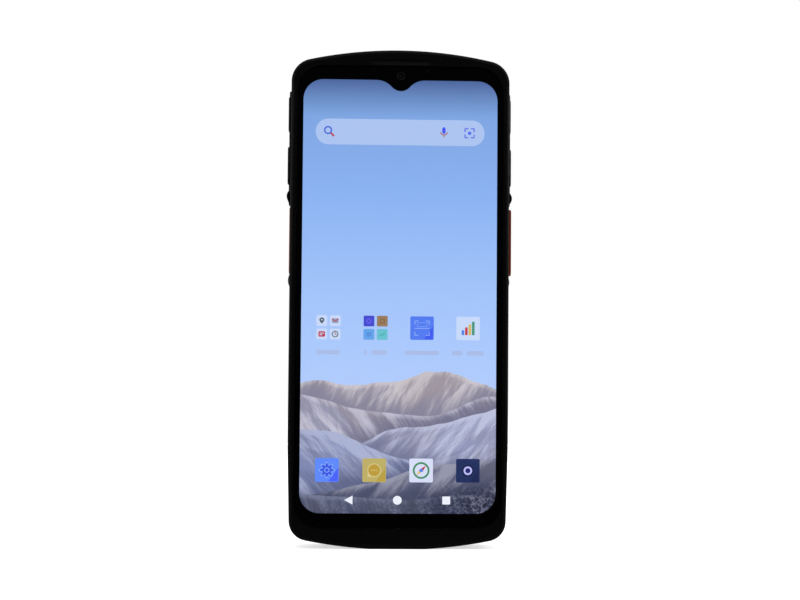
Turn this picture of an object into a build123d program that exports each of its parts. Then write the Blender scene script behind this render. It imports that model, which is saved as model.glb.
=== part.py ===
from build123d import *
import math
import os

# A rugged hand-held barcode data terminal, upright on its foot: X is the width, Y the depth with
# the display towards -Y, Z the height. The origin is under the middle of the foot. Millimetres.

# ---- Driving dimensions -------------------------------------------------------------------

# Display and cover glass
screen_width = 67.9
screen_height = 150.9
screen_corner_radius = 7.0
notch_radius = 4.2
notch_depth = 3.85
notch_flare = 7.0
glass_side_border = 1.95
glass_foot_border = 5.2
glass_head_border = 4.7
glass_corner_radius = 9.0
glass_edge_radius = 0.35
glass_clearance = 0.1
lcd_side_border = 1.05
lcd_foot_border = 2.6
lcd_head_border = 1.7
lcd_clearance = 0.15

# Rims of the case around the glass
side_rim = 2.3
foot_rim = 7.0
head_rim = 5.85

# Outer form of the case
head_arc_radius = 147.0
foot_arc_radius = 166.0
foot_land = 19.0
head_corner_radius = 8.0
foot_corner_radius = 7.0
taper_height = 36.0
taper_inset = 0.75
front_edge_radius = 1.4
back_edge_radius = 2.2
wall = 2.4
bumper_thickness = 1.2
head_bumper_drop = 12.5
seam_width = 0.3
seam_depth = 0.25
bumper_groove_width = 1.2
bumper_groove_depth = 0.45
bumper_groove_pitch = 2.8
bumper_groove_half_reach = 4.6
head_groove_count = 2
head_groove_rise = 3.4
foot_groove_count = 5
foot_groove_drop = 5.0

# Layers through the depth, from the display to the battery door
glass_recess = 0.3
glass_thickness = 1.1
gasket_thickness = 0.15
lcd_thickness = 1.95
frame_thickness = 1.0
board_gap = 1.2
board_thickness = 1.0
floor_gap = 0.8
bay_floor = 0.8
battery_seat_gap = 0.1
battery_thickness = 6.5
door_air_gap = 0.5
door_thickness = 1.6

# Battery, its bay and its door
battery_width = 55.8
battery_height = 58.0
battery_clearance = 0.3
bay_rim = 1.8
door_clearance = 0.3
bay_wall = 1.2
contact_zone = 10.2
latch_zone = 12.1
door_pin_height = 25.6
door_pin_radius = 0.6
pin_running_gap = 0.05
pin_seat_gap = 0.02
knuckle_radius = 1.4
hinge_wall = 1.7
seal_width = 0.8
door_seal_height = 0.35
door_seal_gap = 0.1
door_corner_radius = 2.0
label_width = 40.0
label_tall = 21.0
label_depth = 0.2
label_corner_radius = 1.5
label_height = 62.0
grip_length = 46.0
grip_width = 1.2
grip_depth = 0.35
grip_pitch = 3.0
grip_count = 5
grip_gap = 5.0
battery_corner_radius = 2.0
battery_edge_radius = 0.8
antenna_inset = 5.0
antenna_band = 5.0
antenna_corner_radius = 3.0
antenna_thickness = 0.2
connector_inset = 14.9
connector_width = 14.0
connector_tall = 3.0
connector_depth = 4.0
connector_gap = 0.6
contact_pitch = 2.5
contact_count = 4
contact_width = 1.0
contact_depth = 2.0
contact_rise = 1.0
contact_reach = 0.4

# Battery door latch
latch_travel = 2.6
latch_width = 12.0
latch_length = 9.5
latch_plate = 1.0
latch_sink = 0.6
latch_neck_width = 5.0
latch_neck_length = 3.0
latch_button_width = 10.0
latch_button_length = 5.0
latch_button_depth = 0.7
latch_recess_depth = 0.9
latch_play = 0.3
latch_tip_gap = 1.1
latch_shelf_depth = 3.1
latch_button_gap = 0.1
latch_neck_rise = 3.5
latch_rib_pitch = 1.2
latch_rib_count = 3
latch_rib_inset = 1.0
latch_groove_width = 0.6
latch_groove_depth = 0.35
latch_corner_radius = 1.0

# Side rails, keys and key boards
rail_thickness = 1.1
rail_width = 8.0
rail_margin = 0.6
rail_head_drop = 14.0
rail_foot_margin = 6.6
rail_corner_radius = 2.0
rail_raise = 0.75
rail_edge_radius = 0.3
rail_raise_drop = 54.3
nub_gap = 3.6
nub_chord = 5.0
nub_height = 1.45
guard_inset = 4.1
guard_chord = 4.8
guard_height = 0.65
key_width = 4.2
key_corner_radius = 1.5
key_edge_radius = 0.2
key_clearance = 0.2
key_flange = 0.8
key_flange_lip = 0.7
key_play = 0.1
key_travel = 0.4
switch_height = 1.4
switch_length = 3.5
switch_width = 2.9
key_board_thickness = 0.6
key_board_gap = 0.1
key_rib = 1.0
scan_key_length = 23.5
scan_key_drop = 54.9
upper_key_length = 12.2
upper_key_drop = 15.8
lower_key_length = 13.2
lower_key_drop = 33.5
key_height_right_scan = 1.45
key_height_left_scan = 0.5
key_height_upper = 1.15
key_height_lower = 1.3

# Boards and what they carry
board_width = 61.0
board_head_drop = 25.0
board_foot_height = 30.0
sub_board_width = 50.0
sub_board_foot_height = 6.5
sub_board_height = 15.0
board_boss_radius = 2.0
board_screw_radius = 0.7
board_screw_head_radius = 1.4
board_screw_head = 0.6
board_screw_inset = 3.5
board_screw_reach = 0.25
board_screw_hole = 0.5
shield_height = 1.6
shield_corner_radius = 0.8
chip_height = 1.0
flex_width = 10.0
flex_lap = 2.5
flex_thickness = 0.2
sim_width = 16.0
sim_shift = 14.0
sim_thickness = 1.4
sim_gap = 1.2
sim_slot_width = 13.0
sim_slot_height = 0.7
sim_slot_depth = 4.5
motor_radius = 4.0
motor_thickness = 2.7
motor_edge_radius = 0.3
motor_shift = 15.0
mic_x = 15.0
mic_width = 3.0
mic_thickness = 1.1
mic_hole_radius = 0.6
# shield cans: place across, drop below the head, width, height
shield_places = [(-15.5, 43.0, 25.0, 26.0), (13.5, 44.0, 27.0, 24.0)]
# chips: place across, height over the foot, width, height
chip_places = [(-10.0, 62.0, 14.0, 14.0), (9.0, 61.0, 11.0, 13.0), (2.0, 118.0, 12.0, 12.0)]

# Port at the foot and its cover
port_width = 8.94
port_height = 3.2
port_length = 7.3
port_wall = 0.3
port_mouth_height = 3.4
port_clearance = 0.15
port_corner_radius = 1.2
port_back = 1.2
tongue_width = 6.7
tongue_thickness = 0.7
tongue_recess = 0.9
port_block_width = 23.0
port_block_top = 4.2
flap_width = 14.0
flap_front_reach = 3.0
flap_thickness = 1.0
flap_lift = 0.3
flap_clearance = 0.3
flap_pin_inset = 1.3
flap_pin_radius = 0.5
flap_knuckle_radius = 1.0
flap_plug_height = 1.2
flap_pin_ear = 2.0

# Scanner in the head
scan_center_shift = 1.6
scan_frame_width = 27.0
scan_frame_depth = 9.4
scan_frame_flange = 1.1
scan_frame_body = 2.3
scan_frame_step = 1.0
scan_frame_drop = 1.0
scan_frame_clearance = 0.05
scan_window_thickness = 1.2
scan_window_margin = 1.6
scan_window_sink = 0.2
scan_window_lip = 1.0
engine_lens_radius = 2.6
engine_lens_shift = 4.5
engine_lens_sink = 1.0
engine_lens_thickness = 0.5
aim_window_width = 5.2
aim_window_depth = 3.9
aim_corner_radius = 1.0
engine_width = 21.0
engine_depth = 7.4
engine_height = 12.5
engine_ear = 3.0
engine_ear_depth = 3.7
engine_ear_height = 1.5
engine_base_drop = 20.0
scan_shelf = 1.5
scan_shelf_margin = 1.0
scan_shelf_lip = 0.5

# Earpiece, front camera and sensors
ear_slot_width = 22.6
ear_slot_height = 1.8
ear_slot_gap = 0.5
mesh_sink = 0.5
mesh_thickness = 0.2
mesh_ledge = 1.0
mesh_rim = 0.25
receiver_width = 13.0
receiver_height = 2.6
receiver_depth = 1.7
receiver_corner_radius = 0.6
receiver_clearance = 0.5
camera_rise = 1.5
camera_barrel_radius = 2.1
camera_body = 5.4
camera_body_depth = 1.8
camera_clearance = 0.2
camera_eye_inset = 0.4
camera_lens_sink = 0.4
camera_lens_radius = 1.05
sensor_offset = 9.3
sensor_width = 2.6
sensor_height = 1.4
sensor_window_inset = 0.2

# Back: camera, lamp, loudspeaker and charging contacts
rear_camera_x = 21.0
rear_camera_drop = 22.0
rear_camera_body = 9.0
rear_camera_depth = 5.0
rear_camera_barrel_radius = 3.3
rear_camera_eye_radius = 1.65
rear_camera_corner_radius = 1.1
rear_camera_ring_radius = 6.0
rear_camera_ring_width = 1.85
rear_camera_ring_depth = 1.1
rear_camera_ring_chamfer = 0.25
rear_camera_glass_thickness = 0.7
lamp_drop = 33.5
lamp_radius = 2.4
lamp_depth = 1.2
lamp_window_radius = 1.6
lamp_led_thickness = 0.8
speaker_x = -19.0
speaker_drop = 38.0
speaker_width = 20.0
speaker_height = 14.0
speaker_depth = 4.0
speaker_corner_radius = 3.5
speaker_mesh_thickness = 0.3
speaker_slot_length = 11.0
speaker_slot_width = 1.2
speaker_slot_pitch = 2.4
speaker_slot_count = 5
pogo_height = 15.0
pogo_width = 18.0
pogo_tall = 5.2
pogo_sink = 0.3
pogo_flange = 1.0
pogo_contact_radius = 0.95
pogo_contact_sink = 0.6
pogo_pitch = 3.2
pogo_count = 5

# Case screws and the seal between the housings
case_screw_radius = 0.9
case_screw_head_radius = 1.7
case_screw_head = 1.0
case_screw_seat = 3.0
case_screw_reach = 0.9
case_screw_socket_radius = 0.9
case_screw_socket_depth = 0.5
case_screw_clearance = 0.15
case_boss_radius = 2.4
case_screw_inset = 8.6
case_screw_head_drop = 10.5
case_screw_foot_height = 10.5
case_screw_mid_inset = 4.5
case_screw_mid_height = 60.0
housing_seal_inset = 1.5
housing_seal_width = 0.6
housing_seal_depth = 0.5

# ---- Sizes and places worked out from them ------------------------------------------------

glass_width = screen_width + 2 * glass_side_border
glass_height = screen_height + glass_foot_border + glass_head_border
bay_width = battery_width + 2 * battery_clearance
door_width = bay_width + 2 * bay_rim
tub_width = door_width + 2 * (door_clearance + bay_wall)
key_stack = wall + 2 * key_play + key_flange + key_travel + switch_height + key_board_thickness
case_width = max(glass_width + 2 * side_rim, tub_width + 2 * (key_stack + key_board_gap))
case_height = foot_rim + glass_height + head_rim
half_width = case_width / 2
glass_low_z = foot_rim
glass_top_z = glass_low_z + glass_height
glass_z = (glass_low_z + glass_top_z) / 2
screen_low_z = glass_low_z + glass_foot_border
screen_top_z = screen_low_z + screen_height
screen_z = (screen_low_z + screen_top_z) / 2
lcd_width = screen_width + 2 * lcd_side_border
lcd_low_z = screen_low_z - lcd_foot_border
lcd_top_z = screen_top_z + lcd_head_border
lcd_z = (lcd_low_z + lcd_top_z) / 2
lcd_height = lcd_top_z - lcd_low_z

display_stack = glass_recess + glass_thickness + gasket_thickness + lcd_thickness + frame_thickness
board_stack = board_gap + board_thickness + floor_gap + bay_floor
battery_stack = battery_seat_gap + battery_thickness + door_air_gap + door_thickness
case_depth = display_stack + board_stack + battery_stack
front_y = -case_depth / 2
back_y = case_depth / 2
glass_front_y = front_y + glass_recess
glass_back_y = glass_front_y + glass_thickness
lcd_front_y = glass_back_y + gasket_thickness
frame_front_y = lcd_front_y + lcd_thickness
split_y = frame_front_y + frame_thickness
board_front_y = split_y + board_gap
board_back_y = board_front_y + board_thickness
floor_front_y = board_back_y + floor_gap
floor_back_y = floor_front_y + bay_floor
battery_front_y = floor_back_y + battery_seat_gap
battery_back_y = battery_front_y + battery_thickness
door_inner_y = battery_back_y + door_air_gap
rim_y = door_inner_y - door_seal_height - door_seal_gap

head_bumper_z = case_height - head_bumper_drop
foot_bumper_z = taper_height
frame_clearance = 0.1

door_pin_z = door_pin_height
door_pin_y = back_y - knuckle_radius
trough_low_z = door_pin_z - knuckle_radius - door_clearance
bay_low_z = door_pin_z + knuckle_radius + door_clearance + hinge_wall
battery_low_z = bay_low_z + battery_clearance
battery_top_z = battery_low_z + battery_height
bay_top_z = battery_top_z + contact_zone
door_top_z = bay_top_z + bay_rim + latch_zone + seal_width
tub_low_z = trough_low_z - bay_wall
tub_top_z = door_top_z + door_clearance + latch_travel + bay_wall
latch_tip_z = door_top_z - latch_tip_gap
latch_low_z = latch_tip_z - latch_length
latch_neck_z = latch_low_z + latch_neck_rise
latch_front_y = door_inner_y - latch_sink - latch_plate
shelf_low_z = bay_top_z
shelf_front_y = door_inner_y - latch_shelf_depth

key_y = split_y + rail_margin + rail_width / 2
rail_seat_x = half_width - rail_thickness
wall_inner_x = half_width - wall
key_flange_outer_x = wall_inner_x - key_play
key_flange_inner_x = key_flange_outer_x - key_flange
switch_face_x = key_flange_inner_x - key_travel - key_play
key_board_outer_x = switch_face_x - switch_height
key_board_inner_x = key_board_outer_x - key_board_thickness
key_rib_outer_x = key_board_inner_x - key_board_gap
rail_top_z = case_height - rail_head_drop
rail_low_z = case_height - scan_key_drop - scan_key_length - rail_foot_margin
rail_z = (rail_top_z + rail_low_z) / 2
nub_z = case_height - scan_key_drop + nub_gap
guard_z = rail_low_z + guard_inset

# Side keys: name, side (+1 right, -1 left), drop of the top end, length, height over the case side
side_keys = [
    ("scan_key_right", 1, scan_key_drop, scan_key_length, key_height_right_scan),
    ("scan_key_left", -1, scan_key_drop, scan_key_length, key_height_left_scan),
    ("power_key", 1, upper_key_drop, upper_key_length, key_height_upper),
    ("function_key", 1, lower_key_drop, lower_key_length, key_height_lower),
    ("volume_up_key", -1, upper_key_drop, upper_key_length, key_height_upper),
    ("volume_down_key", -1, lower_key_drop, lower_key_length, key_height_lower),
]

port_y = board_back_y + port_height / 2
flap_pin_y = back_y - flap_pin_inset
flap_pin_z = flap_lift + flap_knuckle_radius
flap_top_z = flap_lift + flap_thickness
flap_front_y = port_y - flap_front_reach
flap_pin_half = flap_width / 2 + flap_clearance + flap_pin_ear

scan_y = scan_center_shift
scan_frame_top_z = case_height - scan_frame_drop
scan_flange_low_z = scan_frame_top_z - scan_frame_flange
scan_frame_low_z = scan_flange_low_z - scan_frame_body
engine_low_z = case_height - engine_base_drop
engine_top_z = engine_low_z + engine_height
engine_screw_x = (engine_width + engine_ear) / 2
engine_screw_places = [(-engine_screw_x, scan_y), (engine_screw_x, scan_y)]
scan_pane_width = scan_frame_width - 2 * scan_window_margin
scan_pane_depth = scan_frame_depth - 2 * scan_window_margin
scan_window_low_z = scan_frame_top_z - scan_window_sink - scan_window_thickness

rear_camera_z = case_height - rear_camera_drop
lamp_z = case_height - lamp_drop
speaker_z = case_height - speaker_drop

ear_z = glass_top_z + ear_slot_gap + ear_slot_height / 2
receiver_z = ear_z - (receiver_height - ear_slot_height) / 2
camera_z = screen_top_z + camera_rise
frame_notch_width = receiver_width + 2 * receiver_clearance
frame_notch_low_z = camera_z - camera_body / 2 - camera_clearance
sensor_z = (lcd_top_z + glass_top_z) / 2

case_screw_places = [
    (side * (half_width - inset), height)
    for side in (-1, 1)
    for inset, height in [
        (case_screw_inset, case_height - case_screw_head_drop),
        (case_screw_mid_inset, case_screw_mid_height),
        (case_screw_inset, case_screw_foot_height),
    ]
]
board_top_z = case_height - board_head_drop
board_z = (board_top_z + board_foot_height) / 2
sub_board_z = sub_board_foot_height + sub_board_height / 2
board_screw_x = board_width / 2 - board_screw_inset
sub_board_screw_x = sub_board_width / 2 - board_screw_inset
board_screw_places = [
    (side * x, height)
    for side in (-1, 1)
    for x, height in [
        (board_screw_x, board_foot_height + board_screw_inset),
        (board_screw_x, board_z),
        (board_screw_x, board_top_z - board_screw_inset),
        (sub_board_screw_x, sub_board_foot_height + board_screw_inset),
    ]
]

os.makedirs("parts", exist_ok=True)


def keep(builder, name):
    """Label a finished piece and write it as its own STEP file."""
    builder.part.label = name
    export_step(builder.part, f"parts/{name}.step")


def facing(y):
    """Sketch plane across the depth at y, seen from the front; extruding goes to the front."""
    return Plane.XZ.offset(-y)


def case_outline(inset=0.0):
    """Outline of the case from the front: arched head and foot, sides tapering to the foot."""
    foot_sag = foot_arc_radius - math.sqrt(foot_arc_radius**2 - (foot_land / 2) ** 2)
    foot_x = half_width - taper_inset
    foot_z = foot_arc_radius - foot_sag - math.sqrt(foot_arc_radius**2 - foot_x**2)
    head_z = case_height - head_arc_radius + math.sqrt(head_arc_radius**2 - half_width**2)
    with BuildSketch() as outline:
        with BuildLine():
            ThreePointArc((-half_width, head_z), (0, case_height), (half_width, head_z))
            Line((half_width, head_z), (half_width, taper_height))
            Line((half_width, taper_height), (foot_x, foot_z))
            ThreePointArc((foot_x, foot_z), (0, -foot_sag), (-foot_x, foot_z))
            Line((-foot_x, foot_z), (-half_width, taper_height))
            Line((-half_width, taper_height), (-half_width, head_z))
        make_face()
        fillet(outline.vertices().group_by(Axis.Y)[-1], head_corner_radius)
        fillet(outline.vertices().group_by(Axis.Y)[0], foot_corner_radius)
        Rectangle(foot_land * 2, foot_rim, align=(Align.CENTER, Align.MAX), mode=Mode.SUBTRACT)
        if inset:
            offset(amount=-inset, kind=Kind.INTERSECTION)
    return outline.sketch


def screen_window():
    """Lit area of the display: round corners and a drop-shaped notch at the head."""
    with BuildSketch() as window:
        with Locations((0, screen_z)):
            RectangleRounded(screen_width, screen_height, screen_corner_radius)
        with Locations((0, screen_top_z + notch_radius - notch_depth)):
            Circle(notch_radius, mode=Mode.SUBTRACT)
        lips = window.vertices().filter_by_position(Axis.X, -notch_radius, notch_radius)
        fillet(lips.group_by(Axis.Y)[-1], notch_flare)
    return window.sketch


def bumper_shell(seam_z, side):
    """Outer skin of the case beyond a seam height, on the side that is kept."""
    with BuildPart() as shell:
        add(case_solid)
        split(bisect_by=Plane.XY.offset(seam_z), keep=side)
        with BuildSketch(facing(back_y)):
            add(bumper_seat)
        extrude(amount=case_depth, mode=Mode.SUBTRACT)
    return shell.part


def rail_form(side):
    """Solid that fills a side rail's seat, out to its raised part, its nub and its guard."""
    nub_r = (nub_height**2 + (nub_chord / 2) ** 2) / (2 * nub_height)
    guard_r = (guard_height**2 + (guard_chord / 2) ** 2) / (2 * guard_height)
    raise_low_z = case_height - rail_raise_drop
    with BuildPart() as rail:
        with BuildSketch(Plane.YZ.offset(rail_seat_x)):
            with Locations((key_y, rail_z)):
                RectangleRounded(rail_width, rail_top_z - rail_low_z, rail_corner_radius)
        extrude(amount=rail_thickness)
        with BuildSketch(Plane.YZ.offset(rail_seat_x)):
            with Locations((key_y, (raise_low_z + rail_top_z) / 2)):
                RectangleRounded(rail_width, rail_top_z - raise_low_z, rail_corner_radius)
        extrude(amount=rail_thickness + rail_raise)
        fillet(rail.faces().sort_by(Axis.X)[-1].edges(), rail_edge_radius)
        bumps = [(nub_r, nub_height, nub_z), (guard_r, guard_height, guard_z)]
        for radius, height, bump_z in bumps:
            with BuildSketch(Plane.XZ.offset(-key_y - rail_width / 2)):
                with Locations((half_width + height - radius, bump_z)):
                    Circle(radius)
                with Locations((rail_seat_x, bump_z)):
                    Rectangle(
                        2 * radius, 2 * radius, align=(Align.MAX, Align.CENTER), mode=Mode.SUBTRACT
                    )
            extrude(amount=rail_width)
        if side < 0:
            mirror(about=Plane.YZ, mode=Mode.REPLACE)
    return rail.part


def side_boxes(part_side, width, grow, inner_x, outer_x):
    """Round-cornered prisms through a case side, one at each key of that side."""
    with BuildPart() as prisms:
        for _, side, drop, length, _ in side_keys:
            if side != part_side:
                continue
            with BuildSketch(Plane.YZ.offset(inner_x)):
                with Locations((key_y, case_height - drop - length / 2)):
                    RectangleRounded(width + 2 * grow, length + 2 * grow, key_corner_radius + grow)
            extrude(amount=outer_x - inner_x)
        if part_side < 0:
            mirror(about=Plane.YZ, mode=Mode.REPLACE)
    return prisms.part


with BuildPart() as case_form:
    with BuildSketch(facing(back_y)):
        add(case_outline())
    extrude(amount=case_depth)
    fillet(case_form.faces().sort_by(Axis.Y)[0].edges(), front_edge_radius)
    fillet(case_form.faces().sort_by(Axis.Y)[-1].edges(), back_edge_radius)

case_solid = case_form.part
bumper_seat = case_outline(bumper_thickness)
cavity_outline = case_outline(wall)
frame_outline = case_outline(wall + frame_clearance)
seal_outer = case_outline(housing_seal_inset)
seal_inner = case_outline(housing_seal_inset + housing_seal_width)

# Grip grooves across the flanks of the two bumpers
with BuildSketch() as groove_bands:
    for first_z, step, count in [
        (head_bumper_z + head_groove_rise, bumper_groove_pitch, head_groove_count),
        (foot_bumper_z - foot_groove_drop, -bumper_groove_pitch, foot_groove_count),
    ]:
        with Locations(*[(0, first_z + k * step) for k in range(count)]):
            Rectangle(case_width, bumper_groove_width)
with BuildPart() as groove_form:
    with BuildSketch(facing(bumper_groove_half_reach)):
        add(case_outline())
        add(case_outline(bumper_groove_depth), mode=Mode.SUBTRACT)
        add(groove_bands.sketch, mode=Mode.INTERSECT)
    extrude(amount=2 * bumper_groove_half_reach)
bumper_grooves = groove_form.part

# Shadow grooves on the flanks: along the parting plane and at the seams of the bumpers
with BuildPart() as seam_form:
    with BuildSketch(facing(split_y + seam_width / 2)):
        add(case_outline())
        add(case_outline(seam_depth), mode=Mode.SUBTRACT)
    extrude(amount=seam_width)
    with BuildSketch(facing(back_y)):
        for seam_side in (-1, 1):
            with Locations(
                (seam_side * half_width, head_bumper_z), (seam_side * half_width, foot_bumper_z)
            ):
                Rectangle(2 * seam_depth, seam_width)
    extrude(amount=case_depth)
with BuildPart() as seam_flanks:
    add(seam_form.part)
    split(bisect_by=Plane.XY.offset(head_bumper_z + seam_width), keep=Keep.BOTTOM)
    split(bisect_by=Plane.XY.offset(foot_bumper_z - seam_width), keep=Keep.TOP)
seam_cuts = seam_flanks.part

head_shell = bumper_shell(head_bumper_z, Keep.TOP)
foot_shell = bumper_shell(foot_bumper_z, Keep.BOTTOM)


def flap_recess():
    """Room for the port cover in the foot: its plate, its knuckle and the way out to the back."""
    trough_front_y = flap_pin_y - flap_knuckle_radius - flap_clearance
    with BuildPart() as recess:
        with BuildSketch(Plane.XY):
            with Locations((0, flap_front_y - flap_clearance)):
                Rectangle(
                    flap_width + 2 * flap_clearance,
                    back_y - flap_front_y + flap_clearance,
                    align=(Align.CENTER, Align.MIN),
                )
        extrude(amount=flap_top_z + flap_clearance)
        with BuildSketch(Plane.XY):
            with Locations((0, trough_front_y)):
                Rectangle(
                    flap_width + 2 * flap_clearance,
                    back_y - trough_front_y,
                    align=(Align.CENTER, Align.MIN),
                )
        extrude(amount=flap_pin_z + flap_knuckle_radius + flap_clearance)
    return recess.part


with BuildPart() as pin_bores:
    with BuildSketch(Plane.YZ.offset(-flap_pin_half)):
        with Locations((flap_pin_y, flap_pin_z)):
            Circle(flap_pin_radius + pin_seat_gap)
    extrude(amount=2 * flap_pin_half)

with BuildPart() as mic_bore:
    with BuildSketch(Plane.XY):
        with Locations((mic_x, board_back_y + mic_thickness / 2)):
            Circle(mic_hole_radius)
    extrude(amount=port_block_top)

flap_recess_solid = flap_recess()
flap_pin_bores = pin_bores.part
mic_hole = mic_bore.part

# ---- Display stack ------------------------------------------------------------------------

# Cover glass, set into the front housing and bonded to the display through the gasket
with BuildPart() as cover_glass:
    with BuildSketch(facing(glass_back_y)):
        with Locations((0, glass_z)):
            RectangleRounded(glass_width, glass_height, glass_corner_radius)
    extrude(amount=glass_thickness)
    fillet(cover_glass.faces().sort_by(Axis.Y)[0].edges(), glass_edge_radius)
keep(cover_glass, "cover_glass")

# Black adhesive gasket behind the glass, which frames the lit area and the camera's eye
with BuildPart() as display_gasket:
    with BuildSketch(facing(lcd_front_y)):
        with Locations((0, glass_z)):
            RectangleRounded(glass_width, glass_height, glass_corner_radius)
        add(screen_window(), mode=Mode.SUBTRACT)
        with Locations((0, camera_z)):
            Circle(camera_barrel_radius - camera_eye_inset, mode=Mode.SUBTRACT)
        with Locations((-sensor_offset, sensor_z), (sensor_offset, sensor_z)):
            Circle(sensor_height / 2 - sensor_window_inset, mode=Mode.SUBTRACT)
    extrude(amount=gasket_thickness)
keep(display_gasket, "display_gasket")

# Liquid crystal panel with its backlight, notched for the front camera
with BuildPart() as lcd_panel:
    with BuildSketch(facing(frame_front_y)):
        with Locations((0, lcd_z)):
            RectangleRounded(lcd_width, lcd_height, screen_corner_radius)
        with Locations((0, camera_z)):
            Circle(camera_barrel_radius + lcd_clearance, mode=Mode.SUBTRACT)
            Rectangle(
                2 * (camera_barrel_radius + lcd_clearance),
                lcd_top_z - camera_z,
                align=(Align.CENTER, Align.MIN),
                mode=Mode.SUBTRACT,
            )
    extrude(amount=lcd_thickness)
keep(lcd_panel, "lcd_panel")

# Front camera: a barrel that looks through the gasket, and a body in the mid frame's notch
with BuildPart() as front_camera:
    with BuildSketch(facing(frame_front_y)):
        with Locations((0, camera_z)):
            Circle(camera_barrel_radius)
    extrude(amount=lcd_thickness)
    with BuildSketch(facing(frame_front_y + camera_body_depth)):
        with Locations((0, camera_z)):
            Rectangle(camera_body, camera_body)
    extrude(amount=camera_body_depth)
    with BuildSketch(facing(lcd_front_y + camera_lens_sink)):
        with Locations((0, camera_z)):
            Circle(camera_lens_radius)
    extrude(amount=camera_lens_sink, mode=Mode.SUBTRACT)
keep(front_camera, "front_camera")

# Light and proximity sensor, and the charge lamp, each behind a small window in the gasket
for sensor_name, sensor_x in [("light_sensor", sensor_offset), ("charge_led", -sensor_offset)]:
    with BuildPart() as sensor:
        with BuildSketch(facing(frame_front_y)):
            with Locations((sensor_x, sensor_z)):
                Rectangle(sensor_width, sensor_height)
        extrude(amount=lcd_thickness)
    keep(sensor, sensor_name)

# Earpiece mesh in its slot above the glass
with BuildPart() as earpiece_mesh:
    with BuildSketch(facing(front_y + mesh_sink + mesh_thickness)):
        with Locations((0, ear_z)):
            SlotOverall(ear_slot_width, ear_slot_height)
    extrude(amount=mesh_thickness)
keep(earpiece_mesh, "earpiece_mesh")

# Receiver behind the earpiece slot
with BuildPart() as earpiece_receiver:
    with BuildSketch(facing(frame_front_y + receiver_depth)):
        with Locations((0, receiver_z)):
            RectangleRounded(receiver_width, receiver_height, receiver_corner_radius)
    extrude(amount=receiver_depth)
keep(earpiece_receiver, "earpiece_receiver")

# ---- Casing -------------------------------------------------------------------------------

# Front housing: the frame around the glass, with ledges for glass, display and mid frame
with BuildPart() as front_housing:
    add(case_solid)
    split(bisect_by=facing(split_y), keep=Keep.TOP)
    add(head_shell, mode=Mode.SUBTRACT)
    add(foot_shell, mode=Mode.SUBTRACT)
    add(seam_cuts, mode=Mode.SUBTRACT)
    with BuildSketch(facing(lcd_front_y)):
        with Locations((0, glass_z)):
            RectangleRounded(
                glass_width + 2 * glass_clearance,
                glass_height + 2 * glass_clearance,
                glass_corner_radius + glass_clearance,
            )
    extrude(amount=lcd_front_y - front_y, mode=Mode.SUBTRACT)
    with BuildSketch(facing(frame_front_y)):
        with Locations((0, lcd_z)):
            RectangleRounded(
                lcd_width + 2 * lcd_clearance,
                lcd_height + 2 * lcd_clearance,
                screen_corner_radius + lcd_clearance,
            )
        with Locations((0, camera_z)):
            Circle(camera_barrel_radius + camera_clearance)
        with Locations((-sensor_offset, sensor_z), (sensor_offset, sensor_z)):
            Rectangle(sensor_width + 2 * lcd_clearance, sensor_height + 2 * lcd_clearance)
    extrude(amount=lcd_thickness, mode=Mode.SUBTRACT)
    with BuildSketch(facing(split_y)):
        add(cavity_outline)
    extrude(amount=frame_thickness, mode=Mode.SUBTRACT)
    with BuildSketch(facing(front_y + mesh_sink + mesh_thickness)):
        with Locations((0, ear_z)):
            SlotOverall(ear_slot_width, ear_slot_height)
    extrude(amount=mesh_sink + mesh_thickness, mode=Mode.SUBTRACT)
    with BuildSketch(facing(frame_front_y)):
        with Locations((0, ear_z)):
            Rectangle(receiver_width - 2 * mesh_ledge, ear_slot_height - 2 * mesh_rim)
    extrude(amount=frame_front_y - front_y - mesh_sink, mode=Mode.SUBTRACT)
keep(front_housing, "front_housing")

# Mid frame: the cast plate that carries the display in front and the boards behind
with BuildPart() as mid_frame:
    with BuildSketch(facing(split_y)):
        add(frame_outline)
        with Locations((0, frame_notch_low_z)):
            Rectangle(
                frame_notch_width,
                case_height - frame_notch_low_z,
                align=(Align.CENTER, Align.MIN),
                mode=Mode.SUBTRACT,
            )
    extrude(amount=frame_thickness)
    with BuildSketch(facing(board_front_y)):
        with Locations(*board_screw_places):
            Circle(board_boss_radius)
    extrude(amount=board_gap)
    with BuildSketch(facing(board_front_y)):
        with Locations(*board_screw_places):
            Circle(board_screw_radius + pin_seat_gap)
    extrude(amount=board_gap + board_screw_hole, mode=Mode.SUBTRACT)
    with BuildSketch(facing(split_y)):
        with Locations(*case_screw_places):
            Circle(case_screw_radius + pin_seat_gap)
    extrude(amount=frame_thickness, mode=Mode.SUBTRACT)
keep(mid_frame, "mid_frame")

rail_right_solid = rail_form(1)
rail_left_solid = rail_form(-1)
rail_holes = {
    side: side_boxes(side, key_width, key_clearance, wall_inner_x - wall, half_width + wall)
    for side in (1, -1)
}

# Side rails: soft strips along both flanks with a hole for each key, a nub and a guard
for rail_name, rail_side, rail_solid in [
    ("side_rail_right", 1, rail_right_solid),
    ("side_rail_left", -1, rail_left_solid),
]:
    with BuildPart() as side_rail:
        add(rail_solid)
        add(rail_holes[rail_side], mode=Mode.SUBTRACT)
    keep(side_rail, rail_name)

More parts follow.
